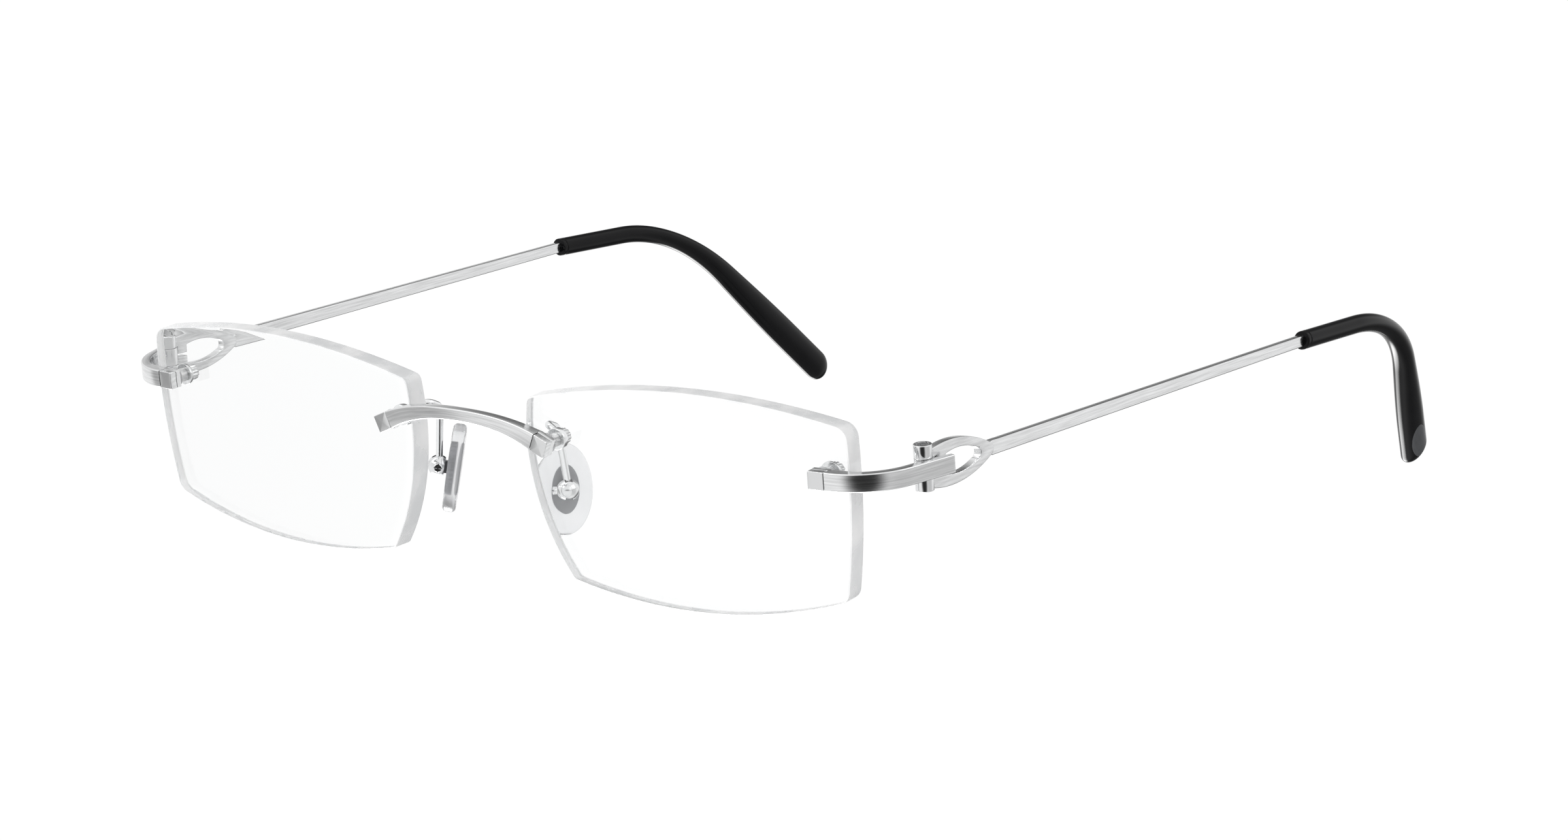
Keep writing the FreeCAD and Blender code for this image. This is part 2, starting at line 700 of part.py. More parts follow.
def arm_wire(points, radius):
    """Polyline with every inner corner rounded by a tangent arc."""
    edges = []
    here = points[0]
    for before, corner, after in zip(points, points[1:], points[2:]):
        back = unit(before - corner)
        ahead = unit(after - corner)
        reach = radius / math.tan(back.getAngle(ahead) / 2)
        depth = math.hypot(radius, reach) - radius
        arc_start = corner + back * reach
        arc_end = corner + ahead * reach
        edges.append(line(here, arc_start))
        edges.append(arc(arc_start, corner + unit(back + ahead) * depth, arc_end))
        here = arc_end
    edges.append(line(here, points[-1]))
    return Part.Wire(edges)


def make_pad_arm():
    """Round wire from an eyelet clamped behind the lens, over and down to the pad box."""
    eyelet = placed(cylinder(washer_radius, eyelet_back, -nasal_depth), nasal_mount)
    bends = [eyelet_centre + Vec(*offset) for offset in (arm_rise, arm_crest, arm_turn)]
    wire = arm_wire([eyelet_centre] + bends + [pad_pivot + Vec(*arm_foot), pad_pivot], arm_bend_radius)
    ring = Part.Wire(Part.makeCircle(arm_radius, eyelet_centre, unit(bends[0] - eyelet_centre)))
    arm = wire.makePipeShell([ring], True, True)
    hole = placed(cylinder(stud_radius, 2 * eyelet_back, 0), nasal_mount)
    nut_room = placed(cylinder(nut_radius + arm_nut_clearance, 2 * eyelet_back, eyelet_back), nasal_mount)
    lens_room = placed(cylinder(2 * washer_radius, -nasal_depth, 0), nasal_mount)
    ball = Part.makeSphere(box_radius, pad_pivot)
    return one_solid(eyelet.fuse(arm).cut([hole, nut_room, lens_room, ball]))


# ---------------------------------------------------------------- assembly

endpiece = make_endpiece()
upper_knuckle = make_upper_knuckle()
lower_knuckle = make_lower_knuckle()
barrels = [barrel_piece(barrel_radius, middle_half + knuckle_gap / 2, barrel_height / 2),
           barrel_piece(barrel_radius, -barrel_height / 2, -middle_half - knuckle_gap / 2)]
tip_outer = make_tip_outer()
tip_core = make_tip_core()
inlay = make_inlay(tip_outer)
pad_core = make_pad_core()
pad_box = placed(make_pad_box(), pad_frame)

side_nodes = {
    "lens": make_lens(),
    "bridge_block": make_block(nasal_mount, nasal_depth, eyelet_thickness + nut_length),
    "endpiece_block": make_block(temporal_mount, temporal_depth, washer_thickness + nut_length),
    "nasal_bush": make_bush(nasal_mount, nasal_depth),
    "temporal_bush": make_bush(temporal_mount, temporal_depth),
    "temporal_washer": make_washer(temporal_mount, temporal_depth),
    "nasal_nut": make_nut(nasal_mount, nasal_depth, eyelet_thickness),
    "temporal_nut": make_nut(temporal_mount, temporal_depth, washer_thickness),
    "endpiece": endpiece,
    "hinge_knuckle_middle": make_front_knuckle(endpiece),
    "hinge_knuckle_upper": upper_knuckle,
    "hinge_knuckle_lower": lower_knuckle,
    "hinge_screw": make_hinge_screw(),
    "temple": make_temple(tip_core, barrels),
    "temple_tip": one_solid(tip_outer.cut([tip_core, inlay])),
    "tip_inlay": inlay,
    "pad_arm": make_pad_arm(),
    "pad_box": pad_box,
    "pad_screw": placed(make_pad_screw(), pad_frame),
    "pad_core": placed(pad_core, pad_frame),
    "nose_pad": placed(make_pad(pad_core), pad_frame),
}
nodes = {"bridge_bar": make_bridge()}
for name, shape in side_nodes.items():
    nodes[name + "_left"] = shape
    nodes[name + "_right"] = mirrored(shape)

# the origin is the bottom centre of the whole object, standing as it does on lenses and tips
whole = Part.makeCompound(list(nodes.values())).optimalBoundingBox(False, False)
origin_shift = Vec(0, -(whole.YMin + whole.YMax) / 2, -whole.ZMin)

os.makedirs("parts", exist_ok=True)
for name, shape in nodes.items():
    shape.translate(origin_shift)
    shape.exportStep("parts/" + name + ".step")
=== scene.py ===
import json
import math

import bpy
import numpy as np
from mathutils import Matrix, Vector


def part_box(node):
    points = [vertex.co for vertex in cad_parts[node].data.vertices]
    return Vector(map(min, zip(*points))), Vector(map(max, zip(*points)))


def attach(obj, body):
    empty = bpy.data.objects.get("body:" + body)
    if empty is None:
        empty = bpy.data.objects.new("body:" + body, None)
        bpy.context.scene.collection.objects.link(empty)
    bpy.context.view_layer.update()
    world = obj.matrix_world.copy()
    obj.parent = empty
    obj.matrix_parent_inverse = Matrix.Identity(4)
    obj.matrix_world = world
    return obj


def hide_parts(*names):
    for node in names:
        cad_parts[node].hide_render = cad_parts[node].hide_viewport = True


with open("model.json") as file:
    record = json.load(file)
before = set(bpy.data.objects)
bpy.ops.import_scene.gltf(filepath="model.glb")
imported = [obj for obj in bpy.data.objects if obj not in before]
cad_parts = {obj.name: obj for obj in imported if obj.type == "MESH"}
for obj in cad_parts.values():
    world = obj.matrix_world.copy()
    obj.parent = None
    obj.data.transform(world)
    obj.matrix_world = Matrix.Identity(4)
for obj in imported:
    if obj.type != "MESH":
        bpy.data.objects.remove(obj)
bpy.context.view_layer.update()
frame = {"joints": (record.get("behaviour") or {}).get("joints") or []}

# ------------------------------------------------------------------ the lenses
# Two clear plastic lenses, ground to a shallow curve on both faces and cut to shape with a polished edge.
# Each is drilled twice, beside the nose and at the temple. Nothing else holds the front together.

mm = 0.001
lens_gap = 20.1 * mm
lens_width = 49 * mm
lens_wrap = math.radians(3.93)
lens_tilt = math.radians(7.23)
front_radius = 503 * mm
back_radius = 300 * mm
centre_thickness = 2.4 * mm
edge_bevel = 0.18 * mm
top_nasal = (-24.25 * mm, 8.3 * mm)
top_temporal = (24.25 * mm, 9.3 * mm)
low_temporal = (22.9 * mm, -13.0 * mm)
low_nasal = (-18.9 * mm, -15.3 * mm)
top_crown = (0, 11.6 * mm)
low_crown = (0, -17.15 * mm)
nasal_bulge = 2.5 * mm
temporal_bulge = 0.75 * mm
nasal_corner = 1.1 * mm
temporal_corner = 2.0 * mm
nasal_hole = (-21.3 * mm, 2.7 * mm)
temporal_hole = (20.75 * mm, 3.1 * mm)
hole_radius = 0.9 * mm
lens_crisp = 30


def unit(vectors):
    """Vectors divided by their own length."""
    vectors = np.asarray(vectors, float)
    return vectors / np.linalg.norm(vectors, axis=-1, keepdims=True)


def arc_through(start, middle, end, count):
    """Points on the circle through three points: its centre is where the two chords' bisectors meet."""
    start, middle, end = (np.asarray(point, float) for point in (start, middle, end))
    chords = np.array([middle - start, end - start])
    centre = start + np.linalg.solve(chords, (chords * chords).sum(1) / 2)
    spokes = np.array([start, middle, end]) - centre
    angles = np.unwrap(np.arctan2(spokes[:, 1], spokes[:, 0]))
    turn = np.linspace(angles[0], angles[2], count)
    return centre + np.linalg.norm(spokes[0]) * np.stack([np.cos(turn), np.sin(turn)], -1)


def bulged(start, end, bulge):
    """Middle point of an arc that stands out from its chord by the bulge, on the chord's left."""
    start, end = np.asarray(start, float), np.asarray(end, float)
    chord = unit(end - start)
    return (start + end) / 2 + bulge * np.array([-chord[1], chord[0]])


def rounded_corner(before, after, radius, count):
    """Arc tangent to two straight ends at a corner, which is where one side stops and the next starts.
    Its centre lies on the corner's bisector, and it touches each side at radius * tan(turn / 2)."""
    corner = before[-1]
    come, leave = unit(before[-1] - before[-2]), unit(after[1] - after[0])
    turn = math.acos(float(np.clip(come @ leave, -1, 1)))
    reach = radius * math.tan(turn / 2)
    inward = unit(leave - come)
    centre = corner + inward * math.hypot(radius, reach)
    swing = np.linspace(-turn / 2, turn / 2, count)[:, None]
    across = unit(come + leave)
    return centre - radius * np.cos(swing) * inward + radius * np.sin(swing) * across, reach


def outline_of(sides, corners, count):
    """Sides joined end to end, each cut short where a rounded corner takes over."""
    arcs = [rounded_corner(sides[i - 1], sides[i], corners[i], count) for i in range(len(sides))]
    points = []
    for i, side in enumerate(sides):
        after = arcs[(i + 1) % len(sides)]
        from_start = np.linalg.norm(side - side[0], axis=1)
        from_end = np.linalg.norm(side - side[-1], axis=1)
        points += [arcs[i][0], side[(from_start > arcs[i][1] * 1.2) & (from_end > after[1] * 1.2)]]
    return np.concatenate(points)


def sag(points, radius):
    """Depth of a sphere below its top, at points of a flat plane."""
    return radius - np.sqrt(radius ** 2 - (points ** 2).sum(-1))


def shell(grid, wrap=False):
    """Closed surface over a grid of points, with rows along the piece and columns round it.
    Neighbouring rows and columns make four-sided faces. Either the rows close on themselves too, as in a
    ring, or each end is closed by a fan from its middle. The UV map is distance along and distance round."""
    rows, columns = grid.shape[:2]
    lengths = np.linalg.norm(np.diff(np.vstack([grid.mean(1), grid.mean(1)[:1]]), axis=0), axis=1)
    along = np.concatenate([[0], np.cumsum(lengths)])
    middle = grid[rows // 2]
    girth = np.concatenate([[0], np.cumsum(np.linalg.norm(np.roll(middle, -1, 0) - middle, axis=1))])
    row = np.arange(rows if wrap else rows - 1)[:, None]
    column = np.arange(columns)[None, :]
    next_row, next_column = (row + 1) % rows, (column + 1) % columns
    quads = np.stack(np.broadcast_arrays(row * columns + column, row * columns + next_column,
                                         next_row * columns + next_column, next_row * columns + column), -1)
    u = np.stack(np.broadcast_arrays(along[row], along[row], along[row + 1], along[row + 1] + 0 * column), -1)
    v = np.stack(np.broadcast_arrays(girth[column] + 0 * row, girth[column + 1], girth[column + 1],
                                     girth[column]), -1)
    points, triangles = grid.reshape(-1, 3), np.zeros((0, 3), int)
    if not wrap:
        ring = np.arange(columns)
        first = np.stack([np.full(columns, rows * columns), np.roll(ring, -1), ring], -1)
        last = np.stack([np.full(columns, rows * columns + 1), ring + (rows - 1) * columns,
                         np.roll(ring, -1) + (rows - 1) * columns], -1)
        points = np.vstack([points, grid[0].mean(0), grid[-1].mean(0)])
        triangles = np.vstack([first, last])
    quads = quads.reshape(-1, 4)
    coordinates = np.stack([u, v], -1).reshape(-1, 2)
    # The faces look outward where the volume they close comes out above zero.
    a, b, c, d = (points[quads[:, i]] for i in range(4))
    volume = (np.cross(a, b) * c).sum() + (np.cross(a, c) * d).sum()
    e, f, g = (points[triangles[:, i]] for i in range(3))
    if volume + (np.cross(e, f) * g).sum() < 0:
        quads, triangles = quads[:, ::-1], triangles[:, ::-1]
        coordinates = coordinates.reshape(-1, 4, 2)[:, ::-1].reshape(-1, 2)
    return points, quads, triangles, coordinates


def make_piece(name, shells, materials, crisp=38):
    """One mesh from one or more closed shells. Edges that turn by more than the crisp angle stay sharp."""
    starts = np.cumsum([0] + [len(points) for points, *_ in shells])
    quads = [part + start for (_, part, _, _), start in zip(shells, starts)]
    triangles = [part + start for (_, _, part, _), start in zip(shells, starts)]
    mesh = bpy.data.meshes.new(name)
    faces = np.vstack(quads).tolist() + np.vstack(triangles).tolist()
    mesh.from_pydata(np.vstack([points for points, *_ in shells]).tolist(), [], faces)
    spread = np.vstack([part[3] for part in shells] + [np.zeros((3 * sum(map(len, triangles)), 2))])
    mesh.uv_layers.new(name="along_and_round").data.foreach_set("uv", spread.ravel())
    for material in materials:
        mesh.materials.append(material)
    mesh.shade_smooth()
    mesh.set_sharp_from_angle(angle=math.radians(crisp))
    piece = bpy.data.objects.new(name, mesh)
    bpy.context.scene.collection.objects.link(piece)
    return piece


def carve(piece, cutters, crisp=38):
    """Cuts other closed meshes out of a piece and throws them away."""
    for cutter in cutters:
        cut = piece.modifiers.new("cut", "BOOLEAN")
        cut.object, cut.operation, cut.solver = cutter, "DIFFERENCE", "EXACT"
    finished = bpy.data.meshes.new_from_object(piece.evaluated_get(bpy.context.evaluated_depsgraph_get()))
    piece.modifiers.clear()
    piece.data = finished
    finished.set_sharp_from_angle(angle=math.radians(crisp))
    for cutter in cutters:
        bpy.data.objects.remove(cutter)


def fit_pair(piece, node, body):
    """The piece goes on the wearer's left and its mirror image on the right, each in place of its node."""
    mirrored = piece.copy()
    mirrored.data = piece.data.copy()
    mirrored.data.transform(Matrix.Diagonal((-1, 1, 1, 1)))
    mirrored.data.flip_normals()
    bpy.context.scene.collection.objects.link(mirrored)
    name = piece.name
    for side, made in (("left", piece), ("right", mirrored)):
        made.name = f"{name}_{side}"
        made.data.name = made.name
        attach(made, body.replace("SIDE", side))
        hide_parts(f"{node}_{side}")
    return piece, mirrored


def put(points, origin, axes):
    """Points given in a local frame, moved to their place. The axes are the rows of a matrix."""
    return np.asarray(origin) + np.asarray(points) @ np.asarray(axes)


def turned(radii, heights, columns=64, flutes=None):
    """Grid turned about local Z: each row is a circle of its own radius at its own height.
    Flutes is a share of the radius to take away, row by row and column by column."""
    turn = np.linspace(0, 2 * np.pi, columns, endpoint=False)
    radii = np.asarray(radii, float)[:, None] * (1 if flutes is None else 1 - flutes)
    heights = np.asarray(heights, float)[:, None] + 0 * turn
    return np.stack([radii * np.cos(turn), radii * np.sin(turn), heights], -1)


def principled(name, **sockets):
    """Material with one shader. The names given are its sockets, with spaces as underscores."""
    material = bpy.data.materials.new(name)
    material.use_nodes = True
    shader = material.node_tree.nodes["Principled BSDF"]
    for socket, value in sockets.items():
        shader.inputs[socket.replace("_", " ")].default_value = value
    return material, material.node_tree, shader


def grained(name, scale, detail=2.0, space="Object", stretch=None, tones=None, rough=None, relief=None,
            paints="Base Color", **sockets):
    """Material in which one field of noise sets the colour, the gloss and a fine relief.
    Tones are two pairs, each a share of the noise and the colour there. Rough is the roughness at the
    noise's low and high ends. Relief is the strength of the bump and its height. What is None stays even."""
    material, tree, shader = principled(name, **sockets)
    nodes, links = tree.nodes, tree.links
    place = nodes.new("ShaderNodeTexCoord").outputs[space]
    if stretch:
        mapping = nodes.new("ShaderNodeMapping")
        mapping.inputs["Scale"].default_value = stretch
        links.new(place, mapping.inputs["Vector"])
        place = mapping.outputs["Vector"]
    noise = nodes.new("ShaderNodeTexNoise")
    noise.inputs["Scale"].default_value, noise.inputs["Detail"].default_value = scale, detail
    links.new(place, noise.inputs["Vector"])
    grain = noise.outputs["Fac"]
    if tones:
        ramp = nodes.new("ShaderNodeValToRGB")
        for stop, (share, colour) in zip(ramp.color_ramp.elements, tones):
            stop.position, stop.color = share, tuple(colour) + (1,)
        links.new(grain, ramp.inputs["Fac"])
        links.new(ramp.outputs["Color"], shader.inputs[paints])
    if rough:
        gloss = nodes.new("ShaderNodeMapRange")
        gloss.inputs["To Min"].default_value, gloss.inputs["To Max"].default_value = rough
        links.new(grain, gloss.inputs["Value"])
        links.new(gloss.outputs["Result"], shader.inputs["Roughness"])
    if relief:
        bump = nodes.new("ShaderNodeBump")
        bump.inputs["Strength"].default_value, bump.inputs["Distance"].default_value = relief
        links.new(grain, bump.inputs["Height"])
        links.new(bump.outputs["Normal"], shader.inputs["Normal"])
    return material


def clear_lens_finish():
    """Optical plastic: colourless, fully clear and glass smooth."""
    return principled("clear_lens", Base_Color=(0.985, 0.99, 0.99, 1), Roughness=0.0, IOR=1.5,
                      Transmission_Weight=1.0)[0]


def polished_edge_finish():
    """The lens's cut edge: milky from polishing, with soft cloudy streaks."""
    return grained("polished_lens_edge", 1.0, detail=3.0, stretch=(260, 260, 130),
                   tones=((0.36, (0.86, 0.87, 0.88)), (0.62, (1.0, 1.0, 1.0))), rough=(0.12, 0.45),
                   IOR=1.5, Transmission_Weight=0.3)


lens_across = np.array([math.cos(lens_wrap), math.sin(lens_wrap), 0])
lens_up = np.array([math.sin(lens_wrap) * math.sin(lens_tilt), -math.cos(lens_wrap) * math.sin(lens_tilt),
                    math.cos(lens_tilt)])
lens_axes = np.array([lens_across, lens_up, np.cross(lens_across, lens_up)])

lens_sides = [arc_through(top_temporal, top_crown, top_nasal, 90),
              arc_through(top_nasal, bulged(top_nasal, low_nasal, -nasal_bulge), low_nasal, 60),
              arc_through(low_nasal, low_crown, low_temporal, 90),
              arc_through(low_temporal, bulged(low_temporal, top_temporal, -temporal_bulge), top_temporal,
                          60)]
lens_outline = outline_of(lens_sides, [temporal_corner, nasal_corner, nasal_corner, temporal_corner], 12)
outward = unit(np.roll(lens_outline, -1, 0) - np.roll(lens_outline, 1, 0)) @ np.array([[0, -1], [1, 0]])

# Rows of points run out over the front face, round its bevel, across the edge and back over the rear face.
face_steps = np.linspace(0.02, 1, 14) ** 0.8
bevel_turn = np.linspace(0, np.pi / 2, 5)
rim_inset = edge_bevel * (1 - np.sin(bevel_turn))
rim_depth = edge_bevel * (1 - np.cos(bevel_turn))
inner_rim = lens_outline - outward * edge_bevel
faces = face_steps[:-1, None, None] * inner_rim
rims = lens_outline - outward * rim_inset[:, None, None]
front = np.concatenate([faces, rims])
drop = np.concatenate([np.zeros(len(faces)), rim_depth])[:, None]
front_face = np.dstack([front, -sag(front, front_radius) - drop])
back_face = np.dstack([front, -centre_thickness - sag(front, back_radius) + drop])
edge_share = np.linspace(0, 1, 7)[1:-1, None, None]
edge_band = front_face[-1] * (1 - edge_share) + back_face[-1] * edge_share
lens_grid = np.concatenate([front_face, edge_band, back_face[::-1]])

# The lens's own lowest and foremost points are put where the frame has them.
lens_x = lens_gap / 2 + lens_width / 2 * math.cos(lens_wrap)
loose_lens = put(lens_grid, (lens_x, 0, 0), lens_axes).reshape(-1, 3).min(0)
lens_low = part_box("lens_left")[0]
lens_origin = np.array([lens_x, lens_low.y - loose_lens[1], lens_low.z - loose_lens[2]])


def thickness_at(hole):
    """Lens thickness at a point: the centre's, plus what the two faces' curves differ by."""
    place = np.array(hole)
    return centre_thickness + float(sag(place, back_radius) - sag(place, front_radius))


def hole_frame(hole, turn):
    """Origin and axes on the front face at a hole: X along the bar, Z out of the face."""
    place = np.array([hole[0], hole[1], -sag(np.array(hole), front_radius)])
    out = unit(np.array([hole[0] / front_radius, hole[1] / front_radius, 1]) @ lens_axes)
    across = unit(lens_across - out * (lens_across @ out))
    up = np.cross(out, across)
    along = across * math.cos(turn) + up * math.sin(turn)
    return put(place, lens_origin, lens_axes), np.array([along, np.cross(out, along), out])


bridge_droop = math.radians(-23)
nasal_origin, nasal_axes = hole_frame(nasal_hole, bridge_droop)
temporal_origin, temporal_axes = hole_frame(temporal_hole, 0)

lens_edge = polished_edge_finish()
lens = make_piece("ground_lens", [shell(put(lens_grid, lens_origin, lens_axes))],
                  [clear_lens_finish(), lens_edge], crisp=lens_crisp)
columns = len(lens_outline)
band = np.zeros(len(lens.data.polygons), int)
band[(len(front_face) - len(rims)) * columns:(len(front_face) + len(edge_band) + len(rims) - 1) * columns] = 1
lens.data.polygons.foreach_set("material_index", band)
drills = []
for hole, (place, axes) in ((nasal_hole, (nasal_origin, nasal_axes)),
                            (temporal_hole, (temporal_origin, temporal_axes))):
    drill = put(turned([hole_radius] * 2, [-2 * thickness_at(hole), thickness_at(hole)], 48), place, axes)
    drills.append(make_piece("drill", [shell(drill)], [lens_edge]))
carve(lens, drills, crisp=lens_crisp)
for shown in fit_pair(lens, "lens", "front"):
    shown.visible_shadow = False

# ----------------------------------------------------------- bridge and blocks
# A flat metal bar arched over the nose, satin brushed along its length. Each end is stepped down to a thin
# tongue against the lens, and a square polished block, the head of the stud through the lens, covers it.

bar_height = 2.35 * mm
block_length = 2.3 * mm
block_thickness = 1.0 * mm
tongue_thickness = 0.8 * mm
seam_gap = 0.07 * mm
lens_seat = 0.15 * mm
stud_radius = 0.6 * mm
bridge_rise = 2.15 * mm
bridge_bow = 0.75 * mm
bridge_mid_height = 1.55 * mm
bridge_mid_thickness = 1.3 * mm
bar_edge = 0.16 * mm
block_edge = 0.1 * mm
block_corner = 0.12 * mm
stud_end = 0.25 * mm
stud_round = 0.2 * mm
stud_nose = 0.04 * mm
tongue_front = lens_seat + tongue_thickness
block_front = tongue_front + block_thickness
full_thickness = block_front - lens_seat


def box_profile(half_across, half_up, radius, steps=5):
    """Points round rectangles with rounded corners: each corner's middle plus the radius times (cos, sin)."""
    half_across, half_up, radius = (np.atleast_1d(value)[:, None] for value in (half_across, half_up, radius))
    radius = np.minimum(radius, np.minimum(half_across, half_up) * 0.999)
    angle = (np.arange(4)[:, None] * np.pi / 2 + np.linspace(0, np.pi / 2, steps)).ravel()
    right, top = np.repeat([1, -1, -1, 1], steps), np.repeat([1, 1, -1, -1], steps)
    across = right * (half_across - radius) + radius * np.cos(angle)
    up = top * (half_up - radius) + radius * np.sin(angle)
    return across, up


def swept(points, across, up, half_across, half_up, radius, steps=5):
    """Grid of rounded rectangles set across a path, one row for each of its points."""
    a, b = box_profile(half_across, half_up, radius, steps)
    return points[:, None] + a[..., None] * np.asarray(across)[..., None, :] + \
        b[..., None] * np.asarray(up)[..., None, :]


def tongue(run, inset, origin, axes):
    """Grid of the thin tongue under a block: its places along the bar, and how far each row draws in."""
    run, inset = np.array(run), np.array(inset)
    path = np.stack([run, 0 * run, 0 * run + (lens_seat + tongue_front) / 2], -1)
    return swept(put(path, origin, axes), axes[2], axes[1], tongue_thickness / 2 - inset,
                 bar_height / 2 - inset, bar_edge / 2)


def eased(length, edge, count, steps=5):
    """Distances from one end of a bar to the other, and how far its sides draw in at its two rounded ends."""
    turn = np.linspace(0, np.pi / 2, steps)
    near = edge * (1 - np.cos(turn))
    inset = edge * (1 - np.sin(turn))
    run = np.linspace(edge, length - edge, count)[1:-1]
    distance = np.concatenate([near, run, length - near[::-1]])
    return distance, np.concatenate([inset, np.zeros(len(run)), inset[::-1]])


def brushed_finish(name, tone, rough, grain_along, grain_round, depth):
    """Satin steel. The grain is noise drawn out along the piece's own length, in colour, gloss and relief."""
    shaded = tuple(0.72 * part for part in tone)
    return grained(name, 1.0, detail=4.0, space="UV", stretch=(grain_along, grain_round, 1),
                   tones=((0.3, shaded), (0.7, tone)), rough=(0.75 * rough, 1.25 * rough),
                   relief=(depth, 0.01 * mm), Metallic=1.0)


satin_bar = brushed_finish("satin_bar", (0.86, 0.865, 0.87), 0.19, 160, 4200, 0.3)

seam = put((-block_length / 2 - seam_gap, 0, block_front), nasal_origin, nasal_axes)
slope, end_front = nasal_axes[0], nasal_axes[2]
middle = np.array([0, seam[1] - bridge_bow, seam[2] + bridge_rise])
mid_front = np.array([0, -math.cos(lens_tilt), -math.sin(lens_tilt)])
# From the middle to each end the path is a cubic, set by the places and headings of both.
reach = np.linspace(-1, 1, 97)
share, side = np.abs(reach)[:, None], np.where(reach < 0, -1, 1)[:, None]
square, cube = share ** 2, share ** 3
end_rate, mid_rate = slope * seam[0] / slope[0], np.array([seam[0], 0, 0])
path = (middle * (2 * cube - 3 * square + 1) + mid_rate * (cube - 2 * square + share)
        + seam * (3 * square - 2 * cube) + end_rate * (cube - square))
heading = (middle * (6 * square - 6 * share) + mid_rate * (3 * square - 4 * share + 1)
           + seam * (6 * share - 6 * square) + end_rate * (3 * square - 2 * share))
facing = mid_front * (1 - square) + end_front * square
flip = np.hstack([side, np.ones_like(side), np.ones_like(side)])
path, facing = path * flip, facing * flip
heading = unit(heading * flip * side)
facing = unit(facing - heading * (facing * heading).sum(1, keepdims=True))
height = (bridge_mid_height + (bar_height - bridge_mid_height) * square)[:, 0]
thickness = (bridge_mid_thickness + (full_thickness - bridge_mid_thickness) * square ** 2)[:, 0]
bridge_rows = swept(path - facing * thickness[:, None] / 2, facing, np.cross(facing, heading),
                    thickness / 2, height / 2, bar_edge)
tongue_rows = tongue([-block_length / 2 - seam_gap, block_length / 2 - bar_edge / 2, block_length / 2],
                     [0, 0, bar_edge / 2], nasal_origin, nasal_axes)
mirrored_tongue = (tongue_rows * np.array([-1, 1, 1]))[::-1]
bridge = make_piece("arched_bridge", [shell(bridge_rows), shell(tongue_rows), shell(mirrored_tongue)],
                    [satin_bar])
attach(bridge, "front")
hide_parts("bridge_bar")

polished_block = brushed_finish("polished_block", (0.8, 0.805, 0.81), 0.14, 900, 2400, 0.12)


def block_shells(origin, axes, depth):
    """Square block with eased edges, and the round stud that runs back from it."""
    rise, inset = eased(block_thickness, block_edge, 4)
    inset[rise < block_thickness / 2] *= 0.2
    path = np.zeros((len(rise), 3)) + (rise + tongue_front)[:, None] * np.array([0, 0, 1])
    head = swept(put(path, origin, axes), axes[0], axes[1], block_length / 2 - inset, bar_height / 2 - inset,
                 block_corner)
    end = -depth - stud_end
    stud = turned([stud_radius, stud_radius, stud_radius, 0.8 * stud_radius, 0.3 * stud_radius],
                  [tongue_front, 0, end + stud_round, end + stud_nose, end], 32)
    return [shell(head), shell(put(stud, origin, axes))]


washer_thickness = 0.55 * mm
eyelet_thickness = 0.8 * mm
nut_length = 1.1 * mm
rear_gap = 0.045 * mm
nasal_back = thickness_at(nasal_hole) + rear_gap
temporal_back = thickness_at(temporal_hole) + rear_gap
for name, origin, axes, depth in (
        ("bridge_block", nasal_origin, nasal_axes, nasal_back + eyelet_thickness + nut_length),
        ("endpiece_block", temporal_origin, temporal_axes, temporal_back + washer_thickness + nut_length)):
    block = make_piece("square_" + name, block_shells(origin, axes, depth), [polished_block])
    fit_pair(block, name, "front")

# ---------------------------------------------- bushes, washers and round nuts
# Behind each block a clear plastic bush lines the hole. A domed washer or the pad arm's eyelet follows at the
# back of the lens, and a small round nut with a fluted rim draws the stack together.

bush_flange = 1.3 * mm
washer_radius = 1.45 * mm
nut_radius = 1.05 * mm
nut_edge = 0.12 * mm
nut_flutes = 12
flute_depth = 0.13
bush_edge = 0.05 * mm
bush_lens_gap = 0.02 * mm
washer_edge = 0.05 * mm
washer_dome = 0.33 * mm


def ring_profile(inner, outer, low, high, edge, steps=5):
    """Closed profile of a ring: up the bore, out over the top, down the rim and back, with eased edges."""
    turn = np.linspace(0, np.pi / 2, steps)
    down, out = edge * np.cos(turn), edge * np.sin(turn)
    radii = np.concatenate([[inner, inner], outer - edge + out, outer - edge + down])
    heights = np.concatenate([[low, high], high - edge + down, low + edge - out])
    return radii, heights


def turned_finish(name, tone, rough):
    """Steel turned in a lathe: a bright skin, finely uneven in colour and gloss."""
    shaded = tuple(0.8 * part for part in tone)
    return grained(name, 2600, detail=3.0, tones=((0.35, shaded), (0.65, tone)),
                   rough=(0.7 * rough, 1.4 * rough), Metallic=1.0)


def clear_bush_finish():
    """Milky, slightly rough nylon that lets the light through."""
    return grained("milky_bush", 900, tones=((0, (0.80, 0.81, 0.82)), (1, (0.97, 0.975, 0.98))),
                   Roughness=0.28, IOR=1.5, Transmission_Weight=0.7)


milky_bush = clear_bush_finish()
bright_steel = turned_finish("bright_turned_steel", (0.83, 0.835, 0.84), 0.14)


def make_nut(name, origin, axes, near):
    """Ring whose rim is cut by twelve round flutes. They fade out where the rim turns over."""
    radii, heights = ring_profile(stud_radius, nut_radius, near - nut_length, near, nut_edge)
    turn = np.linspace(0, 2 * np.pi, 144, endpoint=False)
    hollow = flute_depth * (0.5 + 0.5 * np.cos(nut_flutes * turn)) ** 2.5
    rim = np.clip((radii - 0.8 * nut_radius) / (0.2 * nut_radius), 0, 1)[:, None]
    grid = turned(radii, heights, 144, rim * hollow)
    return make_piece(name, [shell(put(grid, origin, axes), wrap=True)], [bright_steel], crisp=30)


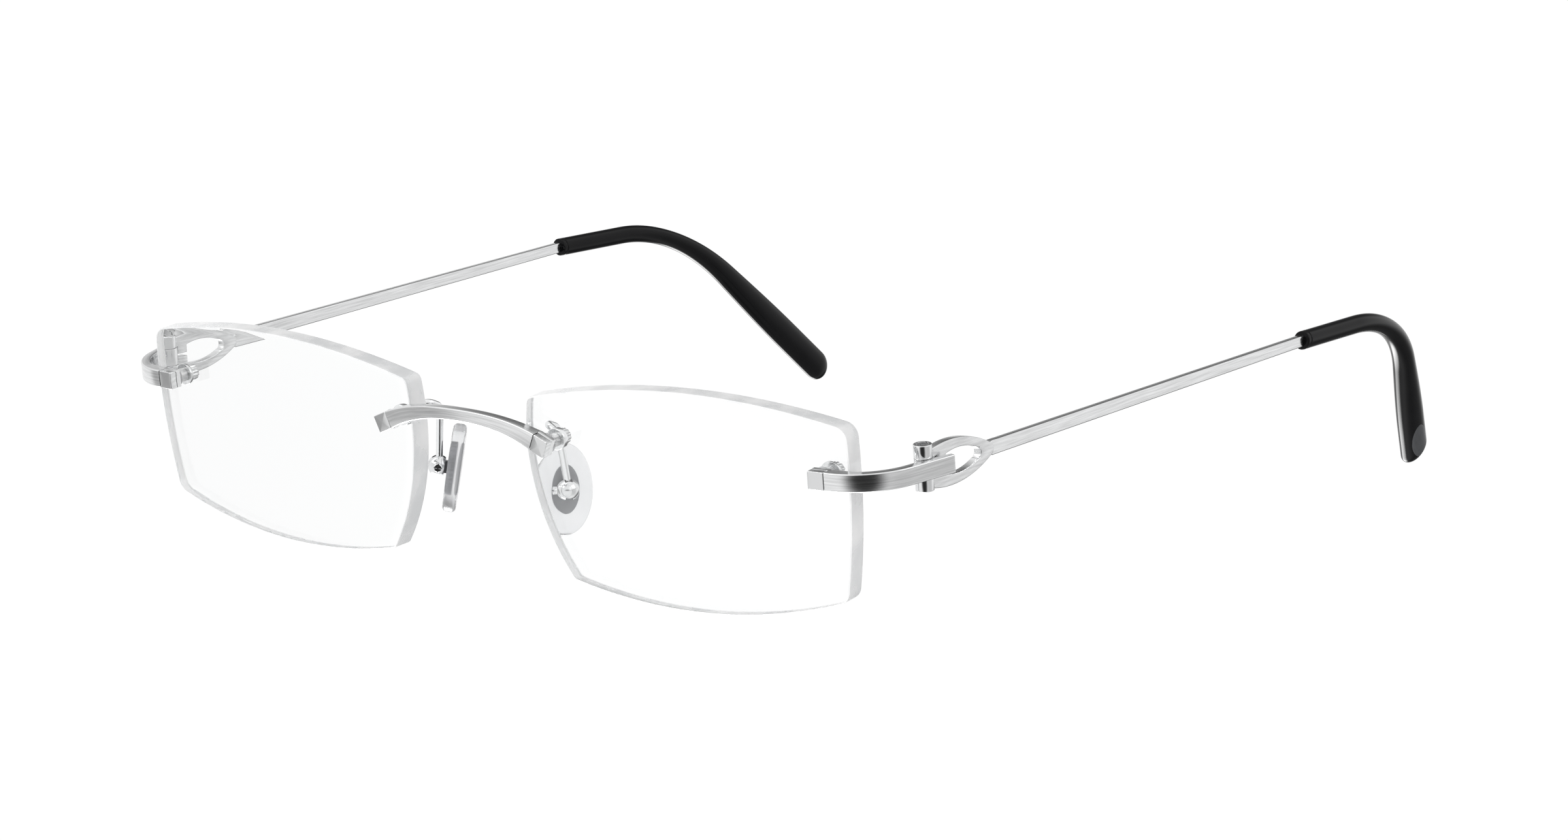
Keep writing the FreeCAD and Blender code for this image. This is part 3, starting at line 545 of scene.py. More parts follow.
for name, origin, axes, back, behind in (("nasal", nasal_origin, nasal_axes, nasal_back, eyelet_thickness),
                                         ("temporal", temporal_origin, temporal_axes, temporal_back,
                                          washer_thickness)):
    nut = make_nut(f"fluted_{name}_nut", origin, axes, -back - behind)
    fit_pair(nut, f"{name}_nut", "front")
    radii = np.array([stud_radius, stud_radius, bush_flange - bush_edge, bush_flange, bush_flange,
                      hole_radius, hole_radius])
    heights = np.array([-back, lens_seat, lens_seat, lens_seat - bush_edge, bush_lens_gap, bush_lens_gap,
                        -back])
    bush = make_piece(f"clear_{name}_bush", [shell(put(turned(radii, heights, 48), origin, axes), wrap=True)],
                      [milky_bush])
    fit_pair(bush, f"{name}_bush", "front")

radii, heights = ring_profile(stud_radius, washer_radius, -temporal_back - washer_thickness, -temporal_back,
                              washer_edge, 7)
dome = np.linspace(0, np.pi / 2, 7)
radii[-7:] = washer_radius - washer_dome + washer_dome * np.cos(dome)
heights[-7:] = -temporal_back - washer_thickness + washer_dome * (1 - np.sin(dome))
washer = make_piece("domed_washer", [shell(put(turned(radii, heights, 64), temporal_origin, temporal_axes),
                                           wrap=True)], [bright_steel])
fit_pair(washer, "temporal_washer", "front")

# ------------------------------------------------------------------- endpieces
# A flat bar from the temple block along the lens and round its edge, rolled from brushed strip. It runs on
# past the hinge barrel, thinning to a square-cut free end, and a foot fills the corner against the lens.

strip_thickness = 1.25 * mm
strip_end_thickness = 0.8 * mm
bend_start = 1.75 * mm
bend_radius = 9.2 * mm
bend_turn = math.radians(68.8)
hinge_run = 3.2 * mm
free_end_run = 6.7 * mm
free_end_edge = 0.12 * mm
seam_ease = 0.02 * mm
tongue_overlap = 0.3 * mm
foot_until = 0.6

strip_start = block_length / 2 + seam_gap
strip_run, strip_inset = eased(free_end_run, free_end_edge, 24)
straight = np.array([[strip_start + seam_ease, 0, block_front], [bend_start, 0, block_front]])
angle = np.linspace(0, bend_turn, 64)[1:]
curve = np.stack([bend_start + bend_radius * np.sin(angle), 0 * angle,
                  block_front - bend_radius * (1 - np.cos(angle))], -1)
run_along = np.array([math.cos(bend_turn), 0, -math.sin(bend_turn)])
tail_run, tail_inset = strip_run[5:], strip_inset[5:]
tail = curve[-1] + tail_run[:, None] * run_along
outer = np.concatenate([straight, curve, tail])
swing = np.concatenate([[0, 0], angle, np.full(len(tail), bend_turn)])
inward = np.stack([-np.sin(swing), 0 * swing, -np.cos(swing)], -1)
foot = (outer[:, 2] - lens_seat) / np.cos(swing)
thinning = np.clip((np.concatenate([0 * swing[:-len(tail)], tail_run]) - hinge_run)
                   / (free_end_run - hinge_run), 0, 1)
strip = strip_thickness + (strip_end_thickness - strip_thickness) * thinning
still_foot = (swing < foot_until) & (foot > strip)
strip = np.where(still_foot, foot, strip)
draw_in = np.concatenate([0 * swing[:-len(tail)], tail_inset])
strip_local = swept(outer + inward * strip[:, None] / 2, -inward, np.array([0, 1, 0]),
                    strip / 2 - draw_in, bar_height / 2 - draw_in, bar_edge)
strip_tongue = tongue([-block_length / 2, -block_length / 2 + bar_edge / 2, strip_start + tongue_overlap],
                      [bar_edge / 2, 0, 0], temporal_origin, temporal_axes)
endpiece = make_piece("bent_endpiece", [shell(put(strip_local, temporal_origin, temporal_axes)),
                                        shell(strip_tongue)], [satin_bar])
fit_pair(endpiece, "endpiece", "front")

# --------------------------------------------------------------- hinge barrels
# Three short polished tubes on one screw. The middle one is brazed to the back of the endpiece, the other two
# belong to the temple. The screw's slotted head lies flush in the top, and its end shows at the bottom.

barrel_radius = 1.2 * mm
barrel_half = 2.95 * mm
middle_edge = 0.05 * mm
lower_edge = 0.08 * mm
upper_edge = 0.1 * mm
knuckle_half = bar_height / 2
knuckle_gap = 0.04 * mm
screw_radius = 0.5 * mm
head_radius = 0.85 * mm
head_height = 0.5 * mm
slot_width = 0.25 * mm
slot_depth = 0.25 * mm
slot_corner = 0.02 * mm
screw_clearance = 0.04 * mm
head_clearance = 0.02 * mm
head_seat_gap = 0.01 * mm
head_edge = 0.1 * mm
head_chamfer = 0.07 * mm
head_sunk = 0.03 * mm


def joint_called(name):
    """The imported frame's own row for one joint."""
    return next(joint for joint in frame["joints"] if joint["name"] == name)


def cutter(low, high, half_across, half_up, corner, origin, axes):
    """Square bar along a local Z axis, between two heights, to cut a slot with."""
    ends = put([[0, 0, low], [0, 0, high]], origin, axes)
    return make_piece("cutter", [shell(swept(ends, axes[0], axes[1], half_across, half_up, corner))],
                      [bright_steel])


def polished_finish(name, tone, rough):
    """Steel polished to a mirror, with a faint unevenness left by the buffing wheel."""
    return grained(name, 700, rough=(0.5 * rough, 1.5 * rough), relief=(0.25, 0.02 * mm), Metallic=1.0,
                   Base_Color=tuple(tone) + (1,))


hinge = joint_called("temple_left_fold")
hinge_centre = np.array(hinge["pos_m"])
hinge_up = unit(hinge["axis"])
hinge_across = unit(np.cross(temporal_axes[2], hinge_up))
hinge_axes = np.array([hinge_across, np.cross(hinge_up, hinge_across), hinge_up])
mirror_steel = polished_finish("mirror_steel", (0.76, 0.765, 0.77), 0.09)


def knuckle(name, bore, low, high, edge, body):
    """Short tube about the hinge's axis with rounded rims, in place of the CAD node of that name."""
    radii, heights = ring_profile(bore, barrel_radius, low, high, edge, 6)
    grid = put(turned(radii, heights, 72), hinge_centre, hinge_axes)
    tube = make_piece("polished_" + name, [shell(grid, wrap=True)], [mirror_steel], crisp=50)
    fit_pair(tube, name, body)


knuckle("hinge_knuckle_middle", screw_radius + screw_clearance, -knuckle_half, knuckle_half, middle_edge,
        "front")
knuckle("hinge_knuckle_lower", screw_radius, -barrel_half, -knuckle_half - knuckle_gap, lower_edge,
        "temple_SIDE")

head_under = barrel_half - head_height
radii, heights = ring_profile(screw_radius, barrel_radius, knuckle_half + knuckle_gap, barrel_half,
                              upper_edge, 6)
radii = np.concatenate([[screw_radius, screw_radius, head_radius, head_radius], radii[2:]])
heights = np.concatenate([[heights[0], head_under, head_under, barrel_half], heights[2:]])
grid = put(turned(radii, heights, 72), hinge_centre, hinge_axes)
upper = make_piece("polished_hinge_knuckle_upper", [shell(grid, wrap=True)], [mirror_steel], crisp=50)
fit_pair(upper, "hinge_knuckle_upper", "temple_SIDE")

head_rim = head_radius - head_clearance
screw_radii = [screw_radius * 0.8, screw_radius, screw_radius, head_rim, head_rim, head_rim - head_chamfer]
screw_heights = [-barrel_half, -barrel_half + head_edge, head_under + head_seat_gap,
                 head_under + head_seat_gap, barrel_half - head_edge, barrel_half - head_sunk]
screw = make_piece("slotted_hinge_screw", [shell(put(turned(screw_radii, screw_heights, 48), hinge_centre,
                                                     hinge_axes))], [bright_steel])
carve(screw, [cutter(barrel_half - slot_depth, barrel_half + slot_depth, slot_width / 2, barrel_radius,
                     slot_corner, hinge_centre, hinge_axes)])
fit_pair(screw, "hinge_screw", "temple_SIDE")

# --------------------------------------------------------------------- temples
# Each side arm starts as a pointed eye pressed from thick strip, split at the front into two leaves that run
# to the outer knuckles. A flat brushed bar comes out from under the eye's tail and runs back to the ear.

temple_pitch = math.radians(3.3)
temple_splay = math.radians(0.73)
temple_drop = 0.2 * mm
eye_outer_face = 1.03 * mm
eye_thickness = 1.2 * mm
eye_edge = 0.36 * mm
eye_start = 0.3 * mm
eye_start_half = 2.45 * mm
eye_crown = 4.8 * mm
eye_half_height = 2.9 * mm
eye_end = 12.7 * mm
eye_end_half = 0.62 * mm
eye_tail = 0.22 * mm
eye_hole_start = 3.2 * mm
eye_hole_start_half = 1.3 * mm
eye_hole_crown = 6.0 * mm
eye_hole_crown_half = 1.6 * mm
eye_hole_point = 11.1 * mm
eye_hole_round = 0.85 * mm
leaf_front = 1.56 * mm
leaf_slit_half = 0.225 * mm
bar_front_half_height = 0.95 * mm
bar_rear_half_height = 0.74 * mm
bar_half_thickness = 0.5 * mm
bar_root = 11.5 * mm
bar_root_half_height = 0.5 * mm
bar_root_taper = 0.375
tip_start = 82.5 * mm

temple_along = np.array([math.sin(temple_splay) * math.cos(temple_pitch),
                         math.cos(temple_splay) * math.cos(temple_pitch), math.sin(temple_pitch)])
temple_across = unit(np.cross(temple_along, [0, 0, 1]))
temple_axes = np.array([temple_across, temple_along, np.cross(temple_across, temple_along)])
bar_line = np.array([eye_outer_face - eye_thickness / 2, 0, -temple_drop])


def eye_outline():
    """The eye's outline as one line. It runs round the outside on an arc each way and a rounded tail, in
    along the slit's lower side, round the hole and out again."""
    half = arc_through((eye_start, eye_start_half), (eye_crown, eye_half_height), (eye_end, eye_end_half), 60)
    nose = np.linspace(0.7, -0.7, 5)
    tail = np.stack([eye_end + eye_tail * np.sqrt(1 - nose ** 2), eye_end_half * nose], -1)
    outside = np.concatenate([half, tail, half[::-1] * [1, -1]])
    rise = arc_through((eye_hole_start, eye_hole_start_half), (eye_hole_crown, eye_hole_crown_half),
                       (eye_hole_point, 0), 80)
    fall = rise[::-1] * [1, -1]
    bend, reach = rounded_corner(rise, fall, eye_hole_round, 15)
    rise = rise[np.linalg.norm(rise - rise[-1], axis=1) > reach * 1.05]
    inside = np.concatenate([rise, bend, rise[::-1] * [1, -1]])[::-1]
    low_step, high_step = temple_drop - knuckle_half - knuckle_gap, temple_drop + knuckle_half + knuckle_gap
    way_in = [[eye_start, low_step], [leaf_front, low_step], [leaf_front, -leaf_slit_half],
              [eye_hole_start, -leaf_slit_half]]
    way_out = [[eye_hole_start, leaf_slit_half], [leaf_front, leaf_slit_half], [leaf_front, high_step],
               [eye_start, high_step]]
    return np.concatenate([outside, way_in, inside, way_out])


def pressed_plate(name, outline, thickness, edge, material):
    """Plate pressed from strip: a flat outline in the along-up plane, given a thickness and rounded edges."""
    count = len(outline)
    flat = np.array([thickness / 2, 0, 0]) + np.insert(outline, 0, 0, axis=1)
    points = np.concatenate([flat, flat - [thickness, 0, 0]])
    here = np.arange(count)
    sides = np.stack([here, np.roll(here, -1), np.roll(here, -1) + count, here + count], -1)
    mesh = bpy.data.meshes.new(name)
    mesh.from_pydata(points.tolist(), [], [here[::-1].tolist(), (here + count).tolist()] + sides.tolist())
    mesh.materials.append(material)
    plate = bpy.data.objects.new(name, mesh)
    bpy.context.scene.collection.objects.link(plate)
    rounding = plate.modifiers.new("rounding", "BEVEL")
    rounding.width, rounding.segments, rounding.limit_method = edge, 4, "ANGLE"
    rounding.angle_limit = math.radians(50)
    plate.data = bpy.data.meshes.new_from_object(plate.evaluated_get(bpy.context.evaluated_depsgraph_get()))
    plate.modifiers.clear()
    spots = np.zeros(3 * len(plate.data.vertices))
    plate.data.vertices.foreach_get("co", spots)
    corners = np.zeros(len(plate.data.loops), int)
    plate.data.loops.foreach_get("vertex_index", corners)
    spread = spots.reshape(-1, 3)[corners][:, 1:]
    plate.data.uv_layers.new(name="along_and_up").data.foreach_set("uv", spread.ravel())
    plate.data.shade_smooth()
    plate.data.set_sharp_from_angle(angle=math.radians(38))
    return plate


def move_into(piece, origin, axes):
    """Moves a piece's points from a local frame to their place."""
    spots = np.zeros(3 * len(piece.data.vertices))
    piece.data.vertices.foreach_get("co", spots)
    piece.data.vertices.foreach_set("co", put(spots.reshape(-1, 3), origin, axes).ravel())
    piece.data.update()


satin_eye = brushed_finish("satin_eye", (0.8, 0.805, 0.81), 0.2, 240, 3000, 0.15)
eye = pressed_plate("pressed_eye", eye_outline(), eye_thickness, eye_edge, satin_eye)
move_into(eye, put(bar_line, hinge_centre, temple_axes), temple_axes)
fit_pair(eye, "temple", "temple_SIDE")

bar_length = tip_start - bar_root
bar_run, bar_inset = eased(bar_length, bar_edge, 60)
share = bar_run / bar_length
bar_half_height = bar_front_half_height + (bar_rear_half_height - bar_front_half_height) * share
bar_half_height = np.minimum(bar_half_height, bar_root_half_height + bar_root_taper * bar_run)
bar_path = bar_line + (bar_root + bar_run)[:, None] * np.array([0, 1, 0])
bar_rows = swept(put(bar_path, hinge_centre, temple_axes), temple_axes[0], temple_axes[2],
                 bar_half_thickness - bar_inset, bar_half_height - bar_inset, bar_edge)
side_bar = make_piece("flat_side_bar", [shell(bar_rows)], [satin_bar])
fit_pair(side_bar, "temple", "temple_SIDE")

# ----------------------------------------------------------------- temple tips
# Black glossy sleeves pushed over the arms' rear ends. Round at the front, they bend down and inward behind
# the ear, widen to a flat paddle and end in a dome. A blank dark plate is let into each outer face.

tip_bend = np.array([-0.9, 108.5, -1.3]) * mm
tip_end_across = -12.1 * mm
tip_end_along = 130.1 * mm
tip_end_height = 0.88 * mm
tip_bend_radius = 26.5 * mm
tip_front_half = 1.2 * mm
tip_neck_half = 1.3 * mm
paddle_half_width = 2.55 * mm
paddle_half_thickness = 1.35 * mm
tip_dome = 2.3 * mm
widen_from = 0.35
widen_over = 0.5
inlay_half_length = 3.6 * mm
inlay_half_width = 1.6 * mm
inlay_from_end = 5.0 * mm
plate_proud = 0.015 * mm
plate_rim_sunk = 0.01 * mm
plate_depth = 0.12 * mm
mouth_run = np.array([0, 0.03, 0.1]) * mm
mouth_inset = np.array([0.1, 0.04, 0.01]) * mm
groove_zone = np.array([0.2, 1.2]) * mm
groove_at = 0.75 * mm
groove_width = 0.09 * mm
groove_depth = 0.09 * mm


def tip_path(distance):
    """Points and directions down the sleeve: a straight run, an arc tangent to it, and a straight run."""
    start = bar_line + np.array([0, tip_start, 0])
    ground = tip_end_height - hinge_centre[2]
    end_up = (ground - tip_end_along * temple_axes[1][2]) / temple_axes[2][2]
    end = np.array([tip_end_across, tip_end_along, end_up])
    first, second = unit(tip_bend - start), unit(end - tip_bend)
    turn = math.acos(first @ second)
    reach = tip_bend_radius * math.tan(turn / 2)
    straight = np.linalg.norm(tip_bend - start) - reach
    inward = unit(second - first * (first @ second))
    angle = np.clip((distance - straight) / tip_bend_radius, 0, turn)[:, None]
    past = np.clip(distance - straight - tip_bend_radius * turn, 0, None)[:, None]
    heading = first * np.cos(angle) + inward * np.sin(angle)
    points = (start + first * np.minimum(distance, straight)[:, None]
              + tip_bend_radius * (first * np.sin(angle) + inward * (1 - np.cos(angle))) + heading * past)
    length = straight + tip_bend_radius * turn + np.linalg.norm(end - tip_bend) - reach
    return points, heading, unit(np.cross(second, first)), length


def tip_section(distance):
    """Half thickness and half width of the sleeve, which closes as half an ellipse over its last part."""
    length = tip_path(np.zeros(1))[3]
    share = np.clip((distance / length - widen_from) / widen_over, 0, 1)
    blend = share * share * (3 - 2 * share)
    close = np.sqrt(np.clip(1 - np.clip((distance - length + tip_dome) / tip_dome, 0, 1) ** 2, 0, 1))
    return ((tip_front_half + (paddle_half_thickness - tip_front_half) * blend) * close,
            (tip_neck_half + (paddle_half_width - tip_neck_half) * blend) * close)


def black_finish():
    """Glossy black acetate with the faintest cloud in its polish."""
    return grained("gloss_black", 320, tones=((0, (0.002, 0.002, 0.0025)), (1, (0.005, 0.005, 0.0055))),
                   rough=(0.1, 0.16), IOR=1.5, Specular_IOR_Level=0.12)


def plate_finish():
    """Dark grey lacquered plate, satin, with a fine grain along it."""
    return grained("blank_dark_plate", 1.0, space="UV", stretch=(500, 9000, 1),
                   tones=((0, (0.075, 0.078, 0.082)), (1, (0.12, 0.124, 0.13))), rough=(0.3, 0.5),
                   Metallic=0.7)


tip_length = tip_path(np.zeros(1))[3]
close = tip_length - tip_dome * (1 - np.sin(np.linspace(0, np.pi / 2, 14)[:-1]))
tip_run = np.concatenate([mouth_run, np.linspace(*groove_zone, 26)[:-1],
                          np.linspace(groove_zone[1], close[0], 110)[:-1], close])
points, heading, outward_side, _ = tip_path(tip_run)
half_thick, half_wide = tip_section(tip_run)
half_thick[:3], half_wide[:3] = half_thick[:3] - mouth_inset, half_wide[:3] - mouth_inset
groove = groove_depth * np.exp(-((tip_run - groove_at) / groove_width) ** 2)
half_thick, half_wide = half_thick - groove, half_wide - groove
round_turn = np.linspace(0, 2 * np.pi, 72, endpoint=False)[:, None]
wide = np.cross(outward_side, heading)
sleeve_rows = (points[:, None] + half_thick[:, None, None] * np.cos(round_turn) * outward_side
               + half_wide[:, None, None] * np.sin(round_turn) * wide[:, None])
sleeve = make_piece("black_sleeve", [shell(put(sleeve_rows, hinge_centre, temple_axes))], [black_finish()],
                    crisp=60)
fit_pair(sleeve, "temple_tip", "temple_SIDE")

plate_run = tip_length - inlay_from_end - inlay_half_length * np.cos(np.linspace(0.06, np.pi - 0.06, 41))
points, heading, outward_side, _ = tip_path(plate_run)
half_thick, half_wide = tip_section(plate_run)
offset = plate_run - tip_length + inlay_from_end
plate_half = inlay_half_width * np.sqrt(1 - (offset / inlay_half_length) ** 2)
spread = np.concatenate([np.linspace(-1, 1, 17), np.linspace(1, -1, 17)])
level = np.concatenate([np.full(17, plate_proud), np.full(17, -plate_depth)])
level[[0, 16]] = -plate_rim_sunk
sideways = plate_half[:, None] * spread
lift = half_thick[:, None] * np.sqrt(1 - (sideways / half_wide[:, None]) ** 2) + level
plate_rows = (points[:, None] + lift[..., None] * outward_side
              + sideways[..., None] * np.cross(outward_side, heading)[:, None])
inlay = make_piece("blank_inlay_plate", [shell(put(plate_rows, hinge_centre, temple_axes))], [plate_finish()])
fit_pair(inlay, "tip_inlay", "temple_SIDE")

# -------------------------------------------------------------------- pad arms
# A wire from an eyelet clamped behind each lens arches over and back, then drops to a ball-shaped box. The
# box is slotted for the pad's lug, and a small screw with a cross slot goes through both.

eyelet_centre = put([0, 0, -nasal_back - eyelet_thickness / 2], nasal_origin, nasal_axes)
rock = joint_called("pad_left_rock")
pad_pivot = np.array(rock["pos_m"])
arm_radius = 0.47 * mm
arm_bend_radius = 1.05 * mm
arm_into_eyelet = 0.95 * mm
eyelet_edge = 0.12 * mm
arm_rise = np.array([-0.53, 0.45, 0.7]) * mm
arm_crest = np.array([-2.48, 0.65, 1.65]) * mm
arm_turn = np.array([-2.68, 2.95, 0.75]) * mm
arm_foot = np.array([-0.15, 0, 1.2]) * mm
ball_radius = 1.45 * mm
ball_cut = 0.8 * mm
box_slot_half = 0.48 * mm
box_slot_top = 0.98 * mm
box_slot_corner = 0.03 * mm
pad_screw_radius = 0.35 * mm
pad_head_radius = 0.55 * mm
pad_head_end = 1.9 * mm
cross_slot_half = 0.09 * mm
cross_slot_depth = 0.2 * mm
cross_slot_corner = 0.01 * mm
pad_head_edge = 0.08 * mm
pad_lean = math.radians(8.5)


def evenly(points, count):
    """The same line, as a number of points an equal distance apart."""
    distance = np.concatenate([[0], np.cumsum(np.linalg.norm(np.diff(points, axis=0), axis=1))])
    wanted = np.linspace(0, distance[-1], count)
    return np.stack([np.interp(wanted, distance, points[:, i]) for i in range(points.shape[1])], -1)


def bent_wire(corners, radius, steps=10):
    """A wire's middle line: straight runs joined by arcs, each tangent to both of its neighbours."""
    pieces = [corners[:1]]
    for before, corner, after in zip(corners, corners[1:], corners[2:]):
        back, ahead = unit(before - corner), unit(after - corner)
        half = math.acos(float(back @ ahead)) / 2
        inward, along = unit(back + ahead), unit(back - ahead)
        swing = np.linspace(half - np.pi / 2, np.pi / 2 - half, steps)[:, None]
        arc = inward / math.sin(half) - np.cos(swing) * inward - np.sin(swing) * along
        pieces.append(corner + radius * arc)
    return np.concatenate(pieces + [corners[-1:]])


def carried_frames(points):
    """Sideways directions along a line that never twist: each is the last, made square to the new heading."""
    headings = unit(np.gradient(points, axis=0))
    side = unit(np.cross(headings[0], [0.3, 0.5, 0.8]))
    sides = []
    for heading in headings:
        side = unit(side - heading * (side @ heading))
        sides.append(side)
    sides = np.array(sides)
    return sides, np.cross(headings, sides)


polished_wire = polished_finish("polished_wire", (0.84, 0.845, 0.85), 0.14)
bends = [eyelet_centre, eyelet_centre + arm_rise, eyelet_centre + arm_crest, eyelet_centre + arm_turn,
         pad_pivot + arm_foot, pad_pivot + unit(arm_foot) * ball_radius * 0.7]
wire_line = evenly(bent_wire(np.array(bends), arm_bend_radius), 90)
wire_line = wire_line[np.linalg.norm(wire_line - eyelet_centre, axis=1) > arm_into_eyelet]
first_side, second_side = carried_frames(wire_line)
wire_rows = swept(wire_line, first_side, second_side, arm_radius, arm_radius, arm_radius, 8)
eyelet_radii, eyelet_heights = ring_profile(stud_radius, washer_radius, -nasal_back - eyelet_thickness,
                                            -nasal_back, eyelet_edge)
eyelet = put(turned(eyelet_radii, eyelet_heights, 64), nasal_origin, nasal_axes)
arm = make_piece("bent_pad_arm", [shell(wire_rows), shell(eyelet, wrap=True)], [polished_wire])
fit_pair(arm, "pad_arm", "front")

pad_side = unit(rock["axis"])
level_out = np.array([pad_side[1], -pad_side[0], 0])
pad_out = level_out * math.cos(pad_lean) + np.cross(level_out, pad_side) * math.sin(pad_lean)
pad_axes = np.array([pad_side, np.cross(pad_out, pad_side), pad_out])
fall = np.linspace(0, np.pi - math.acos(ball_cut / ball_radius), 22)
ball_rows = turned(ball_radius * np.sin(fall[1:]), ball_radius * np.cos(fall[1:]), 56)
ball = make_piece("ball_box", [shell(put(ball_rows, pad_pivot, pad_axes))], [mirror_steel])
carve(ball, [cutter(-2 * ball_radius, box_slot_top, box_slot_half, 2 * ball_radius, box_slot_corner,
                    pad_pivot, pad_axes)])
fit_pair(ball, "pad_box", "front")

across_axes = pad_axes[[1, 2, 0]]
pad_head_under = -0.95 * ball_radius
screw_rows = turned([0.3 * pad_screw_radius, pad_screw_radius, pad_screw_radius, pad_head_radius,
                     pad_head_radius, pad_head_radius - pad_head_edge],
                    [ball_radius, ball_radius - pad_head_edge, pad_head_under, pad_head_under,
                     pad_head_edge - pad_head_end, -pad_head_end], 48)
pad_screw = make_piece("cross_slotted_pad_screw", [shell(put(screw_rows, pad_pivot, across_axes))],
                       [bright_steel])
carve(pad_screw, [cutter(-2 * pad_head_end, cross_slot_depth - pad_head_end, wide_half, tall_half,
                         cross_slot_corner, pad_pivot, across_axes)
                  for wide_half, tall_half in ((cross_slot_half, pad_head_radius * 2),
                                               (pad_head_radius * 2, cross_slot_half))])
fit_pair(pad_screw, "pad_screw", "front")

# ------------------------------------------------------------------- nose pads
# A soft clear oval with a rounded rim, moulded round a thin steel oval. The steel carries a drilled lug that
# sits in the box, so the whole pad rocks a little about the screw.

pad_half_width = 3.45 * mm
pad_half_height = 5.9 * mm
pad_half_thickness = 0.9 * mm
pad_edge = 0.6 * mm
pad_middle = -2.1 * mm
pad_dish = 0.06 * mm
pad_front_insets = np.array([2.6, 1.15, 1.0]) * mm
pad_back_insets = np.array([1.6, 2.6]) * mm
core_half_width = 1.75 * mm
core_half_height = 3.2 * mm
core_thickness = 0.5 * mm
core_cover = 0.45 * mm
core_edge = 0.06 * mm
core_front = pad_middle + pad_half_thickness - core_cover
lug_half_width = 0.4 * mm
lug_radius = 0.8 * mm


def oval_rows(half_across, half_up, levels, insets, columns=96):
    """Rows of ellipses one above another, each drawn in from the full size by its inset."""
    turn = np.linspace(0, 2 * np.pi, columns, endpoint=False)
    insets, levels = np.asarray(insets)[:, None], np.asarray(levels)[:, None]
    return np.stack([(half_across - insets) * np.cos(turn), (half_up - insets) * np.sin(turn),
                     levels + 0 * turn], -1)


def silicone_finish():
    """Clear silicone, a little cloudy: light goes through but is softened."""
    return grained("cloudy_silicone", 420, tones=((0, (0.79, 0.795, 0.805)), (1, (0.87, 0.875, 0.885))),
                   Roughness=0.22, IOR=1.41, Transmission_Weight=0.9)


core_steel = brushed_finish("pressed_core_steel", (0.3, 0.305, 0.32), 0.3, 900, 3000, 0.2)
core_back = core_front - core_thickness
plate = oval_rows(core_half_width, core_half_height,
                  [core_front, core_front - core_edge, core_back + core_edge, core_back],
                  [core_edge, 0, 0, core_edge])
lug_turn = np.linspace(0, np.pi, 17)
lug_line = np.concatenate([[[-lug_radius, core_front - core_thickness / 2]],
                           np.stack([-lug_radius * np.cos(lug_turn), lug_radius * np.sin(lug_turn)], -1),
                           [[lug_radius, core_front - core_thickness / 2]]])
lug_rows = np.stack([np.insert(lug_line, 0, offset, axis=1) for offset in (-lug_half_width, lug_half_width)])
core = make_piece("oval_pad_core", [shell(put(plate, pad_pivot, pad_axes)),
                                    shell(put(lug_rows, pad_pivot, pad_axes))], [core_steel])
fit_pair(core, "pad_core", "pad_SIDE")

rim_turn = np.linspace(0, np.pi / 2, 9)
top = pad_middle + pad_half_thickness
levels = np.concatenate([[top - pad_dish, top - pad_dish, top], top - pad_edge * (1 - np.cos(rim_turn)),
                         2 * pad_middle - top + pad_edge * (1 - np.cos(rim_turn[::-1])),
                         [2 * pad_middle - top, 2 * pad_middle - top]])
insets = np.concatenate([pad_front_insets, pad_edge * (1 - np.sin(rim_turn)),
                         pad_edge * (1 - np.sin(rim_turn[::-1])), pad_back_insets])
pad_rows = oval_rows(pad_half_width, pad_half_height, levels, insets)
pad = make_piece("clear_nose_pad", [shell(put(pad_rows, pad_pivot, pad_axes))], [silicone_finish()])
for shown in fit_pair(pad, "nose_pad", "pad_SIDE"):
    shown.visible_shadow = False

# ----------------------------------------------------- floor, light and camera
# The glasses stand on the lower edges of the lenses and the ends of the tips, on a wide white table in a
# white room. Dark openings in that room give the metal its bands.


# Each patch: its direction, the angles in degrees where it starts and stops fading, and how far it darkens.
# A depth below zero brightens instead, as a strip lamp does.
room_patches = (((0.54, -0.77, -0.30), 14, 40, 0.97),
                ((0.95, 0.17, -0.25), 5, 45, 0.35),
                ((-0.82, -0.50, -0.30), 3, 20, 0.55),
                ((-0.35, 0.75, 0.45), 8, 32, 0.85),
                ((0.05, 0.80, -0.60), 12, 34, 0.85),
                ((-0.45, 0.20, -0.87), 6, 26, -15))
floor_half = 3.0
focal_length = 120
sensor_width = 36
view_from = (438.218 * mm, -560.771 * mm, 145.574 * mm)
view_right = (0.784933, 0.619581, 0)
view_up = (-0.115475, 0.146290, 0.982479)
view_backward = (0.608725, -0.771180, 0.186374)


def light_table_finish():
    """White acrylic lit from below, so nothing on it casts a shadow. Its slight unevenness is too bright to
    show."""
    return grained("lit_white_table", 3, tones=((0, (1.0, 1.0, 1.0)), (1, (1.04, 1.04, 1.04))),
                   paints="Emission Color", Base_Color=(0, 0, 0, 1), Emission_Strength=1.0,
                   Specular_IOR_Level=0)


floor_mesh = bpy.data.meshes.new("white_floor")
floor_corners = floor_half * np.array([(-1, -1, 0), (1, -1, 0), (1, 1, 0), (-1, 1, 0)])
floor_mesh.from_pydata(floor_corners.tolist(), [], [(0, 1, 2, 3)])
floor_mesh.materials.append(light_table_finish())
floor = bpy.data.objects.new("white_floor", floor_mesh)
bpy.context.scene.collection.objects.link(floor)
floor.visible_glossy = False


